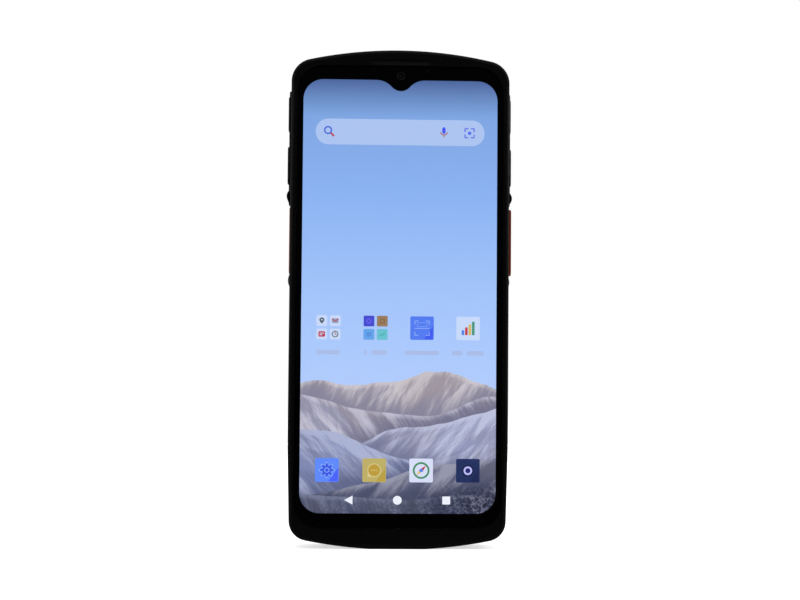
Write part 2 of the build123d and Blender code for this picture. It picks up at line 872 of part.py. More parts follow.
# Rear housing: the shell behind the parting plane, with the battery bay, the latch shelf, the
# scan shelf, the screw bosses, the ribs of the key boards and the block around the port
with BuildPart() as rear_housing:
    add(case_solid)
    split(bisect_by=facing(split_y), keep=Keep.BOTTOM)
    add(head_shell, mode=Mode.SUBTRACT)
    add(foot_shell, mode=Mode.SUBTRACT)
    add(seam_cuts, mode=Mode.SUBTRACT)
    with BuildSketch(facing(door_inner_y)):
        add(cavity_outline)
    extrude(amount=door_inner_y - split_y, mode=Mode.SUBTRACT)
    with BuildSketch(facing(door_inner_y)):
        with Locations((0, (tub_low_z + shelf_low_z + bay_rim) / 2)):
            Rectangle(tub_width, shelf_low_z + bay_rim - tub_low_z)
    extrude(amount=door_inner_y - floor_front_y)
    with BuildSketch(facing(door_inner_y)):
        with Locations((0, (shelf_low_z + tub_top_z) / 2)):
            Rectangle(tub_width, tub_top_z - shelf_low_z)
    extrude(amount=latch_shelf_depth)
    for rib_side in (-1, 1):
        rib_x = rib_side * (key_rib_outer_x - key_rib / 2)
        with BuildSketch(facing(door_inner_y)):
            with Locations((rib_x, rail_z)):
                Rectangle(key_rib, rail_top_z - rail_low_z)
        extrude(amount=door_inner_y - board_front_y)
    with BuildSketch(facing(door_inner_y)):
        with Locations((0, engine_low_z - scan_shelf / 2)):
            Rectangle(engine_width + 2 * (engine_ear + scan_shelf_margin), scan_shelf)
    extrude(amount=door_inner_y - scan_y + engine_depth / 2 + scan_shelf_lip)
    with BuildSketch(facing(door_inner_y)):
        with Locations(*case_screw_places):
            Circle(case_boss_radius)
        add(cavity_outline, mode=Mode.INTERSECT)
    extrude(amount=door_inner_y - split_y)
    with BuildSketch(facing(door_inner_y)):
        with Locations((0, port_block_top)):
            Rectangle(port_block_width, port_block_top, align=(Align.CENTER, Align.MAX))
        add(bumper_seat, mode=Mode.INTERSECT)
    extrude(amount=door_inner_y - board_front_y)
    # battery bay and the door's recess
    with BuildSketch(facing(back_y)):
        with Locations((0, (bay_low_z + bay_top_z) / 2)):
            Rectangle(bay_width, bay_top_z - bay_low_z)
    extrude(amount=back_y - floor_back_y, mode=Mode.SUBTRACT)
    with BuildSketch(facing(back_y)) as door_seat:
        with Locations((0, (trough_low_z + door_top_z + door_clearance) / 2)):
            Rectangle(door_width + 2 * door_clearance, door_top_z + door_clearance - trough_low_z)
        fillet(door_seat.vertices().group_by(Axis.Y)[-1], door_corner_radius + door_clearance)
    extrude(amount=back_y - rim_y, mode=Mode.SUBTRACT)
    with BuildSketch(facing(back_y)):
        with Locations((0, trough_low_z)):
            Rectangle(
                door_width + 2 * door_clearance,
                2 * (knuckle_radius + door_clearance),
                align=(Align.CENTER, Align.MIN),
            )
    extrude(amount=2 * knuckle_radius + door_clearance, mode=Mode.SUBTRACT)
    with BuildSketch(Plane.YZ.offset(-tub_width / 2)):
        with Locations((door_pin_y, door_pin_z)):
            Circle(door_pin_radius + pin_seat_gap)
    extrude(amount=tub_width, mode=Mode.SUBTRACT)
    # pocket of the latch, which reaches under the back wall above the door
    with BuildSketch(facing(door_inner_y)):
        with Locations((0, latch_low_z - latch_play)):
            Rectangle(
                latch_width + 2 * latch_play,
                latch_length + latch_travel + 2 * latch_play,
                align=(Align.CENTER, Align.MIN),
            )
    extrude(amount=door_inner_y - latch_front_y + latch_play, mode=Mode.SUBTRACT)
    # seats of the side rails and the key holes
    add(rail_right_solid, mode=Mode.SUBTRACT)
    add(rail_left_solid, mode=Mode.SUBTRACT)
    add(rail_holes[1], mode=Mode.SUBTRACT)
    add(rail_holes[-1], mode=Mode.SUBTRACT)
    # case screws: a through hole and a head recess in each boss
    with BuildSketch(facing(back_y)):
        with Locations(*case_screw_places):
            Circle(case_screw_radius + case_screw_clearance)
    extrude(amount=case_depth, mode=Mode.SUBTRACT)
    with BuildSketch(facing(back_y)):
        with Locations(*case_screw_places):
            Circle(case_screw_head_radius + case_screw_clearance)
    extrude(amount=case_screw_seat, mode=Mode.SUBTRACT)
    # groove of the housing seal
    with BuildSketch(facing(split_y + housing_seal_depth)):
        add(seal_outer)
        add(seal_inner, mode=Mode.SUBTRACT)
    extrude(amount=housing_seal_depth, mode=Mode.SUBTRACT)
    # rear camera, lamp, loudspeaker and charging contacts in the back wall
    with BuildSketch(facing(back_y)):
        with Locations((rear_camera_x, rear_camera_z)):
            Circle(rear_camera_ring_radius + pin_running_gap)
    extrude(amount=rear_camera_ring_depth, mode=Mode.SUBTRACT)
    with BuildSketch(facing(back_y)):
        with Locations((rear_camera_x, rear_camera_z)):
            Circle(rear_camera_barrel_radius + camera_clearance)
    extrude(amount=door_thickness, mode=Mode.SUBTRACT)
    with BuildSketch(facing(back_y)):
        with Locations((rear_camera_x, lamp_z)):
            Circle(lamp_radius + pin_running_gap)
    extrude(amount=lamp_depth, mode=Mode.SUBTRACT)
    with BuildSketch(facing(back_y)):
        with Locations((rear_camera_x, lamp_z)):
            Circle(lamp_window_radius)
    extrude(amount=door_thickness, mode=Mode.SUBTRACT)
    with BuildSketch(facing(back_y)):
        with Locations((speaker_x, speaker_z)):
            with GridLocations(speaker_slot_pitch, 0, speaker_slot_count, 1):
                SlotOverall(speaker_slot_length, speaker_slot_width, rotation=90)
    extrude(amount=door_thickness, mode=Mode.SUBTRACT)
    with BuildSketch(facing(back_y)):
        with Locations((0, pogo_height)):
            Rectangle(pogo_width + 2 * pin_running_gap, pogo_tall + 2 * pin_running_gap)
    extrude(amount=door_thickness, mode=Mode.SUBTRACT)
    # scan window frame in the head
    with BuildSketch(Plane.XY.offset(scan_flange_low_z)):
        with Locations((0, scan_y)):
            Rectangle(
                scan_frame_width + 2 * scan_frame_clearance,
                scan_frame_depth + 2 * scan_frame_clearance,
            )
    extrude(amount=case_height - scan_flange_low_z, mode=Mode.SUBTRACT)
    with BuildSketch(Plane.XY.offset(engine_top_z)):
        with Locations((0, scan_y)):
            Rectangle(
                scan_frame_width - 2 * scan_frame_step + 2 * scan_frame_clearance,
                scan_frame_depth - 2 * scan_frame_step + 2 * scan_frame_clearance,
            )
    extrude(amount=case_height - engine_top_z, mode=Mode.SUBTRACT)
    with BuildSketch(Plane.XY.offset(engine_low_z - scan_shelf)):
        with Locations(*engine_screw_places):
            Circle(board_screw_radius + pin_seat_gap)
    extrude(amount=scan_shelf, mode=Mode.SUBTRACT)
    # port opening, flap recess with its hinge trough, flap pin bores and microphone hole
    with BuildSketch(Plane.XY):
        with Locations((0, port_y)):
            RectangleRounded(
                port_width + 2 * port_clearance,
                port_height + 2 * port_clearance,
                port_corner_radius + port_clearance,
            )
    extrude(amount=port_block_top, mode=Mode.SUBTRACT)
    add(flap_recess_solid, mode=Mode.SUBTRACT)
    add(flap_pin_bores, mode=Mode.SUBTRACT)
    add(mic_hole, mode=Mode.SUBTRACT)
keep(rear_housing, "rear_housing")

# Head bumper: soft skin over the head, grooved on its flanks and open at the scan window
with BuildPart() as top_bumper:
    add(head_shell)
    add(bumper_grooves, mode=Mode.SUBTRACT)
    add(seam_cuts, mode=Mode.SUBTRACT)
    with BuildSketch(Plane.XY.offset(scan_flange_low_z)):
        with Locations((0, scan_y)):
            Rectangle(
                scan_frame_width + 2 * scan_frame_clearance,
                scan_frame_depth + 2 * scan_frame_clearance,
            )
    extrude(amount=case_height - scan_flange_low_z, mode=Mode.SUBTRACT)
keep(top_bumper, "top_bumper")

# Foot bumper: soft skin over the foot, grooved on its flanks, open at the port and microphone
with BuildPart() as bottom_bumper:
    add(foot_shell)
    add(bumper_grooves, mode=Mode.SUBTRACT)
    add(seam_cuts, mode=Mode.SUBTRACT)
    add(flap_recess_solid, mode=Mode.SUBTRACT)
    add(flap_pin_bores, mode=Mode.SUBTRACT)
    add(mic_hole, mode=Mode.SUBTRACT)
keep(bottom_bumper, "bottom_bumper")

# Seal ring between the housings
with BuildPart() as housing_seal:
    with BuildSketch(facing(split_y + housing_seal_depth)):
        add(seal_outer)
        add(seal_inner, mode=Mode.SUBTRACT)
    extrude(amount=housing_seal_depth)
keep(housing_seal, "housing_seal")

# Case screws, from the back through the rear housing into the mid frame
with BuildPart() as housing_screws:
    seat_y = back_y - case_screw_seat
    with BuildSketch(facing(seat_y)):
        with Locations(*case_screw_places):
            Circle(case_screw_radius)
    extrude(amount=seat_y - split_y + case_screw_reach)
    with BuildSketch(facing(seat_y + case_screw_head)):
        with Locations(*case_screw_places):
            Circle(case_screw_head_radius)
    extrude(amount=case_screw_head)
    with BuildSketch(facing(seat_y + case_screw_head)):
        with Locations(*case_screw_places):
            RegularPolygon(case_screw_socket_radius, 6)
    extrude(amount=case_screw_socket_depth, mode=Mode.SUBTRACT)
keep(housing_screws, "housing_screws")

# ---- Boards -------------------------------------------------------------------------------

# Main board on the mid frame's bosses
with BuildPart() as mainboard:
    with BuildSketch(facing(board_back_y)):
        with Locations((0, board_z)):
            RectangleRounded(board_width, board_top_z - board_foot_height, board_boss_radius)
        with Locations(*board_screw_places):
            Circle(board_screw_radius + case_screw_clearance, mode=Mode.SUBTRACT)
    extrude(amount=board_thickness)
keep(mainboard, "mainboard")

# Sub board at the foot, with the port, the microphone and the vibration motor
with BuildPart() as sub_board:
    with BuildSketch(facing(board_back_y)):
        with Locations((0, sub_board_z)):
            RectangleRounded(sub_board_width, sub_board_height, board_boss_radius)
        with Locations(*board_screw_places):
            Circle(board_screw_radius + case_screw_clearance, mode=Mode.SUBTRACT)
    extrude(amount=board_thickness)
keep(sub_board, "sub_board")

# Small screws: the boards' into the mid frame's bosses, the scan engine's into its shelf
with BuildPart() as board_screws:
    with BuildSketch(facing(board_back_y)):
        with Locations(*board_screw_places):
            Circle(board_screw_radius)
    extrude(amount=board_thickness + board_gap + board_screw_reach)
    with BuildSketch(facing(board_back_y + board_screw_head)):
        with Locations(*board_screw_places):
            Circle(board_screw_head_radius)
    extrude(amount=board_screw_head)
    with BuildSketch(Plane.XY.offset(engine_low_z - scan_shelf)):
        with Locations(*engine_screw_places):
            Circle(board_screw_radius)
    extrude(amount=scan_shelf + engine_ear_height)
    with BuildSketch(Plane.XY.offset(engine_low_z + engine_ear_height)):
        with Locations(*engine_screw_places):
            Circle(board_screw_head_radius)
    extrude(amount=board_screw_head)
keep(board_screws, "board_screws")

# Shield cans over the radio and processor circuits, on the back of the main board
with BuildPart() as shield_cans:
    with BuildSketch(facing(board_back_y + shield_height)):
        for can_x, can_drop, can_width, can_height in shield_places:
            with Locations((can_x, case_height - can_drop)):
                RectangleRounded(can_width, can_height, shield_corner_radius)
    extrude(amount=shield_height)
keep(shield_cans, "shield_cans")

# Chips on the front of the main board
with BuildPart() as board_chips:
    with BuildSketch(facing(board_front_y)):
        for chip_x, chip_z, chip_width, chip_tall in chip_places:
            with Locations((chip_x, chip_z)):
                Rectangle(chip_width, chip_tall)
    extrude(amount=chip_height)
keep(board_chips, "board_chips")

# Flat cable that joins the two boards
with BuildPart() as main_flex:
    flex_low_z = sub_board_foot_height + sub_board_height - flex_lap
    with BuildSketch(facing(board_front_y)):
        with Locations((0, flex_low_z)):
            Rectangle(
                flex_width,
                board_foot_height + flex_lap - flex_low_z,
                align=(Align.CENTER, Align.MIN),
            )
    extrude(amount=flex_thickness)
keep(main_flex, "main_flex")

# Key boards on their ribs, one along each flank
for board_name, board_side in [("key_board_right", 1), ("key_board_left", -1)]:
    with BuildPart() as key_board:
        with BuildSketch(Plane.YZ.offset(key_board_inner_x)):
            with Locations((key_y, rail_z)):
                Rectangle(key_width + 2 * key_flange_lip, rail_top_z - rail_low_z)
        extrude(amount=key_board_thickness)
        if board_side < 0:
            mirror(about=Plane.YZ, mode=Mode.REPLACE)
    keep(key_board, board_name)

# Dome switches, one behind the middle of each key
with BuildPart() as key_switches:
    for _, side, drop, length, _ in side_keys:
        switch_x = side * (key_board_outer_x + switch_height / 2)
        with Locations((switch_x, key_y, case_height - drop - length / 2)):
            Box(switch_height, switch_width, switch_length)
keep(key_switches, "key_switches")

# Holder of the subscriber card, on the floor of the battery bay
with BuildPart() as sim_card_holder:
    holder_top_z = bay_top_z - battery_clearance
    holder_low_z = battery_top_z + sim_gap
    with BuildSketch(facing(floor_back_y + sim_thickness)):
        with Locations((-sim_shift, holder_low_z)):
            Rectangle(sim_width, holder_top_z - holder_low_z, align=(Align.CENTER, Align.MIN))
    extrude(amount=sim_thickness)
    with BuildSketch(Plane.XY.offset(holder_low_z)):
        with Locations((-sim_shift, floor_back_y + sim_thickness / 2)):
            Rectangle(sim_slot_width, sim_slot_height)
    extrude(amount=sim_slot_depth, mode=Mode.SUBTRACT)
keep(sim_card_holder, "sim_card_holder")

# Coin-shaped vibration motor on the sub board
with BuildPart() as vibration_motor:
    with BuildSketch(facing(board_back_y + motor_thickness)):
        with Locations((-motor_shift, sub_board_z)):
            Circle(motor_radius)
    extrude(amount=motor_thickness)
    fillet(vibration_motor.faces().sort_by(Axis.Y)[-1].edges(), motor_edge_radius)
keep(vibration_motor, "vibration_motor")

# Microphone on the sub board, over its hole in the foot
with BuildPart() as microphone:
    with BuildSketch(facing(board_back_y + mic_thickness)):
        with Locations((mic_x, sub_board_foot_height)):
            Rectangle(mic_width, mic_width, align=(Align.CENTER, Align.MIN))
    extrude(amount=mic_thickness)
keep(microphone, "microphone")

# Loudspeaker against its mesh, and the mesh against the slots of the back wall
with BuildPart() as loudspeaker:
    with BuildSketch(facing(door_inner_y - speaker_mesh_thickness)):
        with Locations((speaker_x, speaker_z)):
            RectangleRounded(speaker_width, speaker_height, speaker_corner_radius)
    extrude(amount=speaker_depth)
keep(loudspeaker, "loudspeaker")

with BuildPart() as speaker_mesh:
    with BuildSketch(facing(door_inner_y)):
        with Locations((speaker_x, speaker_z)):
            RectangleRounded(
                speaker_slot_count * speaker_slot_pitch + speaker_slot_width,
                speaker_slot_length + speaker_slot_width,
                speaker_slot_width,
            )
    extrude(amount=speaker_mesh_thickness)
keep(speaker_mesh, "speaker_mesh")

# ---- Port at the foot ---------------------------------------------------------------------

# Shell of the port, open at its mouth
with BuildPart() as usb_socket:
    with BuildSketch(Plane.XY.offset(port_mouth_height)):
        with Locations((0, port_y)):
            RectangleRounded(port_width, port_height, port_corner_radius)
    extrude(amount=port_length)
    with BuildSketch(Plane.XY.offset(port_mouth_height)):
        with Locations((0, port_y)):
            RectangleRounded(
                port_width - 2 * port_wall,
                port_height - 2 * port_wall,
                port_corner_radius - port_wall,
            )
    extrude(amount=port_length - port_back, mode=Mode.SUBTRACT)
keep(usb_socket, "usb_socket")

# Contact tongue in the middle of the port
with BuildPart() as usb_tongue:
    with BuildSketch(Plane.XY.offset(port_mouth_height + tongue_recess)):
        with Locations((0, port_y)):
            Rectangle(tongue_width, tongue_thickness)
    extrude(amount=port_length - port_back - tongue_recess)
keep(usb_tongue, "usb_tongue")

# Rubber cover of the port, on a pin across the back of the foot
with BuildPart() as usb_flap:
    with BuildSketch(Plane.XY.offset(flap_lift)):
        with Locations((0, flap_front_y)):
            Rectangle(
                flap_width, flap_pin_y - flap_front_y, align=(Align.CENTER, Align.MIN)
            )
    extrude(amount=flap_thickness)
    fillet(
        usb_flap.edges().filter_by(Axis.Z).group_by(Axis.Y)[0], flap_knuckle_radius
    )
    with BuildSketch(Plane.YZ.offset(-flap_width / 2)):
        with Locations((flap_pin_y, flap_pin_z)):
            Circle(flap_knuckle_radius)
    extrude(amount=flap_width)
    with BuildSketch(Plane.XY.offset(flap_top_z)):
        with Locations((0, port_y)):
            RectangleRounded(
                port_width - flap_clearance, port_height - flap_clearance, port_corner_radius
            )
    extrude(amount=flap_plug_height)
    with BuildSketch(Plane.YZ.offset(-flap_width / 2)):
        with Locations((flap_pin_y, flap_pin_z)):
            Circle(flap_pin_radius + pin_running_gap)
    extrude(amount=flap_width, mode=Mode.SUBTRACT)
keep(usb_flap, "usb_flap")

with BuildPart() as usb_flap_pin:
    with BuildSketch(Plane.YZ.offset(-flap_pin_half)):
        with Locations((flap_pin_y, flap_pin_z)):
            Circle(flap_pin_radius)
    extrude(amount=2 * flap_pin_half)
keep(usb_flap_pin, "usb_flap_pin")

# ---- Scanner ------------------------------------------------------------------------------

# Scan engine on its shelf, looking up through the head
with BuildPart() as scan_engine:
    with BuildSketch(Plane.XY.offset(engine_low_z)):
        with Locations((0, scan_y)):
            Rectangle(engine_width, engine_depth)
    extrude(amount=engine_height)
    with BuildSketch(Plane.XY.offset(engine_low_z)):
        with Locations((0, scan_y)):
            Rectangle(engine_width + 2 * engine_ear, engine_ear_depth)
    extrude(amount=engine_ear_height)
    with BuildSketch(Plane.XY.offset(engine_low_z)):
        with Locations(*engine_screw_places):
            Circle(board_screw_radius + pin_seat_gap)
    extrude(amount=engine_ear_height, mode=Mode.SUBTRACT)
    with BuildSketch(Plane.XY.offset(engine_top_z - engine_lens_sink)):
        with Locations((-engine_lens_shift, scan_y)):
            Circle(engine_lens_radius)
        with Locations((engine_lens_shift, scan_y)):
            RectangleRounded(aim_window_width, aim_window_depth, aim_corner_radius)
    extrude(amount=engine_lens_sink, mode=Mode.SUBTRACT)
keep(scan_engine, "scan_engine")

# Lens of the engine's camera and the window of its aiming lamp
with BuildPart() as scan_engine_lens:
    with BuildSketch(Plane.XY.offset(engine_top_z - engine_lens_sink)):
        with Locations((-engine_lens_shift, scan_y)):
            Circle(engine_lens_radius - pin_seat_gap)
        with Locations((engine_lens_shift, scan_y)):
            RectangleRounded(
                aim_window_width - 2 * pin_seat_gap,
                aim_window_depth - 2 * pin_seat_gap,
                aim_corner_radius - pin_seat_gap,
            )
    extrude(amount=engine_lens_thickness)
keep(scan_engine_lens, "scan_engine_lens")

# Frame of the scan window: a flange on the step of the head's opening, and a collar below it
with BuildPart() as scan_window_frame:
    with BuildSketch(Plane.XY.offset(scan_flange_low_z)):
        with Locations((0, scan_y)):
            Rectangle(scan_frame_width, scan_frame_depth)
    extrude(amount=scan_frame_flange)
    with BuildSketch(Plane.XY.offset(scan_frame_low_z)):
        with Locations((0, scan_y)):
            Rectangle(
                scan_frame_width - 2 * scan_frame_step, scan_frame_depth - 2 * scan_frame_step
            )
    extrude(amount=scan_frame_body)
    with BuildSketch(Plane.XY.offset(scan_window_low_z)):
        with Locations((0, scan_y)):
            Rectangle(scan_pane_width, scan_pane_depth)
    extrude(amount=scan_frame_top_z - scan_window_low_z, mode=Mode.SUBTRACT)
    with BuildSketch(Plane.XY.offset(scan_frame_low_z)):
        with Locations((0, scan_y)):
            Rectangle(scan_pane_width - 2 * scan_window_lip, scan_pane_depth - 2 * scan_window_lip)
    extrude(amount=scan_frame_body, mode=Mode.SUBTRACT)
keep(scan_window_frame, "scan_window_frame")

# Scan window in its frame
with BuildPart() as scan_window:
    with BuildSketch(Plane.XY.offset(scan_window_low_z)):
        with Locations((0, scan_y)):
            Rectangle(
                scan_pane_width - 2 * scan_frame_clearance,
                scan_pane_depth - 2 * scan_frame_clearance,
            )
    extrude(amount=scan_window_thickness)
keep(scan_window, "scan_window")

# ---- Back: camera, lamp and charging contacts ---------------------------------------------

with BuildPart() as rear_camera:
    with BuildSketch(facing(door_inner_y)):
        with Locations((rear_camera_x, rear_camera_z)):
            RectangleRounded(rear_camera_body, rear_camera_body, rear_camera_corner_radius)
    extrude(amount=rear_camera_depth)
    with BuildSketch(facing(back_y - rear_camera_ring_depth)):
        with Locations((rear_camera_x, rear_camera_z)):
            Circle(rear_camera_barrel_radius)
            Circle(rear_camera_eye_radius, mode=Mode.SUBTRACT)
    extrude(amount=door_thickness - rear_camera_ring_depth)
keep(rear_camera, "rear_camera")

with BuildPart() as rear_camera_glass:
    with BuildSketch(facing(back_y - rear_camera_ring_depth + rear_camera_glass_thickness)):
        with Locations((rear_camera_x, rear_camera_z)):
            Circle(rear_camera_ring_radius - rear_camera_ring_width - pin_running_gap)
    extrude(amount=rear_camera_glass_thickness)
keep(rear_camera_glass, "rear_camera_glass")

with BuildPart() as rear_camera_ring:
    with BuildSketch(facing(back_y)):
        with Locations((rear_camera_x, rear_camera_z)):
            Circle(rear_camera_ring_radius)
            Circle(rear_camera_ring_radius - rear_camera_ring_width, mode=Mode.SUBTRACT)
    extrude(amount=rear_camera_ring_depth)
    chamfer(rear_camera_ring.faces().sort_by(Axis.Y)[-1].edges(), rear_camera_ring_chamfer)
keep(rear_camera_ring, "rear_camera_ring")

with BuildPart() as flash_led:
    with BuildSketch(facing(door_inner_y)):
        with Locations((rear_camera_x, lamp_z)):
            Rectangle(2 * lamp_window_radius, 2 * lamp_window_radius)
    extrude(amount=lamp_led_thickness)
keep(flash_led, "flash_led")

with BuildPart() as flash_lens:
    with BuildSketch(facing(back_y)):
        with Locations((rear_camera_x, lamp_z)):
            Circle(lamp_radius)
    extrude(amount=lamp_depth)
    with BuildSketch(facing(back_y - lamp_depth)):
        with Locations((rear_camera_x, lamp_z)):
            Circle(lamp_window_radius - pin_running_gap)
    extrude(amount=door_thickness - lamp_depth)
keep(flash_lens, "flash_lens")

# Charging contacts in their block, for a cradle
with BuildPart() as pogo_block:
    with BuildSketch(facing(back_y - pogo_sink)):
        with Locations((0, pogo_height)):
            Rectangle(pogo_width, pogo_tall)
    extrude(amount=door_thickness - pogo_sink)
    with BuildSketch(facing(door_inner_y)):
        with Locations((0, pogo_height)):
            Rectangle(pogo_width + 2 * pogo_flange, pogo_tall + 2 * pogo_flange)
    extrude(amount=pogo_flange)
    with BuildSketch(facing(back_y)):
        with Locations((0, pogo_height)):
            with GridLocations(pogo_pitch, 0, pogo_count, 1):
                Circle(pogo_contact_radius + pin_seat_gap)
    extrude(amount=door_thickness + pogo_flange, mode=Mode.SUBTRACT)
keep(pogo_block, "pogo_block")

with BuildPart() as pogo_contacts:
    with BuildSketch(facing(back_y - pogo_contact_sink)):
        with Locations((0, pogo_height)):
            with GridLocations(pogo_pitch, 0, pogo_count, 1):
                Circle(pogo_contact_radius)
    extrude(amount=door_thickness + pogo_flange - pogo_contact_sink)
keep(pogo_contacts, "pogo_contacts")

# ---- Battery ------------------------------------------------------------------------------

with BuildPart() as battery_pack:
    with BuildSketch(facing(battery_back_y)):
        with Locations((0, (battery_low_z + battery_top_z) / 2)):
            RectangleRounded(battery_width, battery_height, battery_corner_radius)
    extrude(amount=battery_thickness)
    fillet(battery_pack.faces().sort_by(Axis.Y)[-1].edges(), battery_edge_radius)
keep(battery_pack, "battery_pack")

# Antenna coil for contactless cards, a thin ring glued to the battery
with BuildPart() as nfc_antenna:
    with BuildSketch(facing(battery_back_y + antenna_thickness)):
        with Locations((0, (battery_low_z + battery_top_z) / 2)):
            RectangleRounded(
                battery_width - 2 * antenna_inset,
                battery_height - 2 * antenna_inset,
                antenna_corner_radius + antenna_band,
            )
            RectangleRounded(
                battery_width - 2 * antenna_inset - 2 * antenna_band,
                battery_height - 2 * antenna_inset - 2 * antenna_band,
                antenna_corner_radius,
                mode=Mode.SUBTRACT,
            )
    extrude(amount=antenna_thickness)
keep(nfc_antenna, "nfc_antenna")

# Battery connector above the pack, and its contact blades
connector_low_z = battery_top_z + connector_gap
connector_x = battery_width / 2 - connector_inset
with BuildPart() as battery_connector:
    with BuildSketch(facing(floor_back_y + connector_depth)):
        with Locations((connector_x, connector_low_z)):
            Rectangle(connector_width, connector_tall, align=(Align.CENTER, Align.MIN))
    extrude(amount=connector_depth)
keep(battery_connector, "battery_connector")

with BuildPart() as battery_contacts:
    with BuildSketch(facing(floor_back_y + contact_rise + contact_depth)):
        with Locations((connector_x, connector_low_z - contact_reach / 2)):
            with GridLocations(contact_pitch, 0, contact_count, 1):
                Rectangle(contact_width, contact_reach)
    extrude(amount=contact_depth)
keep(battery_contacts, "battery_contacts")

# Battery door: a plate with a knuckle along its foot, the track of its latch near the head, a
# shallow field for a label and two groups of finger grooves
with BuildPart() as battery_door:
    with BuildSketch(facing(back_y)):
        with Locations((0, door_pin_z)):
            Rectangle(door_width, door_top_z - door_pin_z, align=(Align.CENTER, Align.MIN))
    extrude(amount=door_thickness)
    fillet(battery_door.edges().filter_by(Axis.Y).group_by(Axis.Z)[-1], door_corner_radius)
    with BuildSketch(Plane.YZ.offset(-door_width / 2)):
        with Locations((door_pin_y, door_pin_z)):
            Circle(knuckle_radius)
    extrude(amount=door_width)
    with BuildSketch(Plane.YZ.offset(-door_width / 2)):
        with Locations((door_pin_y, door_pin_z)):
            Circle(door_pin_radius + pin_running_gap)
    extrude(amount=door_width, mode=Mode.SUBTRACT)
    with BuildSketch(facing(back_y)):
        with Locations((0, latch_neck_z + latch_travel / 2)):
            RectangleRounded(
                latch_button_width + 2 * latch_play,
                latch_button_length + latch_travel + 2 * latch_play,
                latch_corner_radius + latch_play,
            )
    extrude(amount=latch_recess_depth, mode=Mode.SUBTRACT)
    with BuildSketch(facing(back_y)):
        with Locations((0, latch_neck_z + latch_travel / 2)):
            Rectangle(
                latch_neck_width + 2 * latch_play,
                latch_neck_length + latch_travel + 2 * latch_play,
            )
    extrude(amount=door_thickness, mode=Mode.SUBTRACT)
    with BuildSketch(facing(back_y)):
        with Locations((0, label_height)):
            RectangleRounded(label_width, label_tall, label_corner_radius)
    extrude(amount=label_depth, mode=Mode.SUBTRACT)
    grip_reach = label_tall / 2 + grip_gap + (grip_count - 1) * grip_pitch / 2
    with BuildSketch(facing(back_y)):
        with Locations((0, label_height - grip_reach), (0, label_height + grip_reach)):
            with GridLocations(0, grip_pitch, 1, grip_count):
                SlotOverall(grip_length, grip_width)
    extrude(amount=grip_depth, mode=Mode.SUBTRACT)
keep(battery_door, "battery_door")

with BuildPart() as battery_door_pin:
    with BuildSketch(Plane.YZ.offset(-tub_width / 2)):
        with Locations((door_pin_y, door_pin_z)):
            Circle(door_pin_radius)
    extrude(amount=tub_width)
keep(battery_door_pin, "battery_door_pin")

# Seal around the battery bay, under the door
with BuildPart() as battery_door_seal:
    with BuildSketch(facing(rim_y + door_seal_height)):
        with Locations((0, (bay_low_z + bay_top_z) / 2)):
            seal_outset = battery_clearance + seal_width
            RectangleRounded(
                bay_width + 2 * seal_outset, bay_top_z - bay_low_z + 2 * seal_outset, seal_outset
            )
            Rectangle(
                bay_width + 2 * battery_clearance,
                bay_top_z - bay_low_z + 2 * battery_clearance,
                mode=Mode.SUBTRACT,
            )
    extrude(amount=door_seal_height)
keep(battery_door_seal, "battery_door_seal")

# Latch: a plate under the door, a neck through its slot and a ribbed button in its recess
with BuildPart() as battery_latch:
    with BuildSketch(facing(latch_front_y + latch_plate)):
        with Locations((0, latch_low_z)):
            Rectangle(latch_width, latch_length, align=(Align.CENTER, Align.MIN))
    extrude(amount=latch_plate)
    button_floor_y = back_y - latch_recess_depth + latch_button_gap
    with BuildSketch(facing(button_floor_y)):
        with Locations((0, latch_neck_z)):
            Rectangle(latch_neck_width, latch_neck_length)
    extrude(amount=button_floor_y - latch_front_y - latch_plate)
    with BuildSketch(facing(button_floor_y + latch_button_depth)):
        with Locations((0, latch_neck_z)):
            RectangleRounded(latch_button_width, latch_button_length, latch_corner_radius)
    extrude(amount=latch_button_depth)
    with BuildSketch(facing(button_floor_y + latch_button_depth)):
        with Locations((0, latch_neck_z)):
            with GridLocations(0, latch_rib_pitch, 1, latch_rib_count):
                Rectangle(latch_button_width - 2 * latch_rib_inset, latch_groove_width)
    extrude(amount=latch_groove_depth, mode=Mode.SUBTRACT)
keep(battery_latch, "battery_latch")

# ---- Side keys ----------------------------------------------------------------------------

# Each key is a cap through the side rail with a flange inside the wall, before its switch
for key_name, key_side, key_drop, key_length, key_height in side_keys:
    key_z = case_height - key_drop - key_length / 2
    with BuildPart() as side_key:
        with BuildSketch(Plane.YZ.offset(key_flange_inner_x)):
            with Locations((key_y, key_z)):
                RectangleRounded(
                    key_width + 2 * key_flange_lip,
                    key_length + 2 * key_flange_lip,
                    key_corner_radius + key_flange_lip,
                )
        extrude(amount=key_flange)
        with BuildSketch(Plane.YZ.offset(key_flange_outer_x)):
            with Locations((key_y, key_z)):
                RectangleRounded(key_width, key_length, key_corner_radius)
        extrude(amount=half_width + key_height - key_flange_outer_x)
        fillet(side_key.faces().sort_by(Axis.X)[-1].edges(), key_edge_radius)
        if key_side < 0:
            mirror(about=Plane.YZ, mode=Mode.REPLACE)
    keep(side_key, key_name)
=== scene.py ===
import math

import bpy
import numpy as np
from mathutils import Matrix, Vector


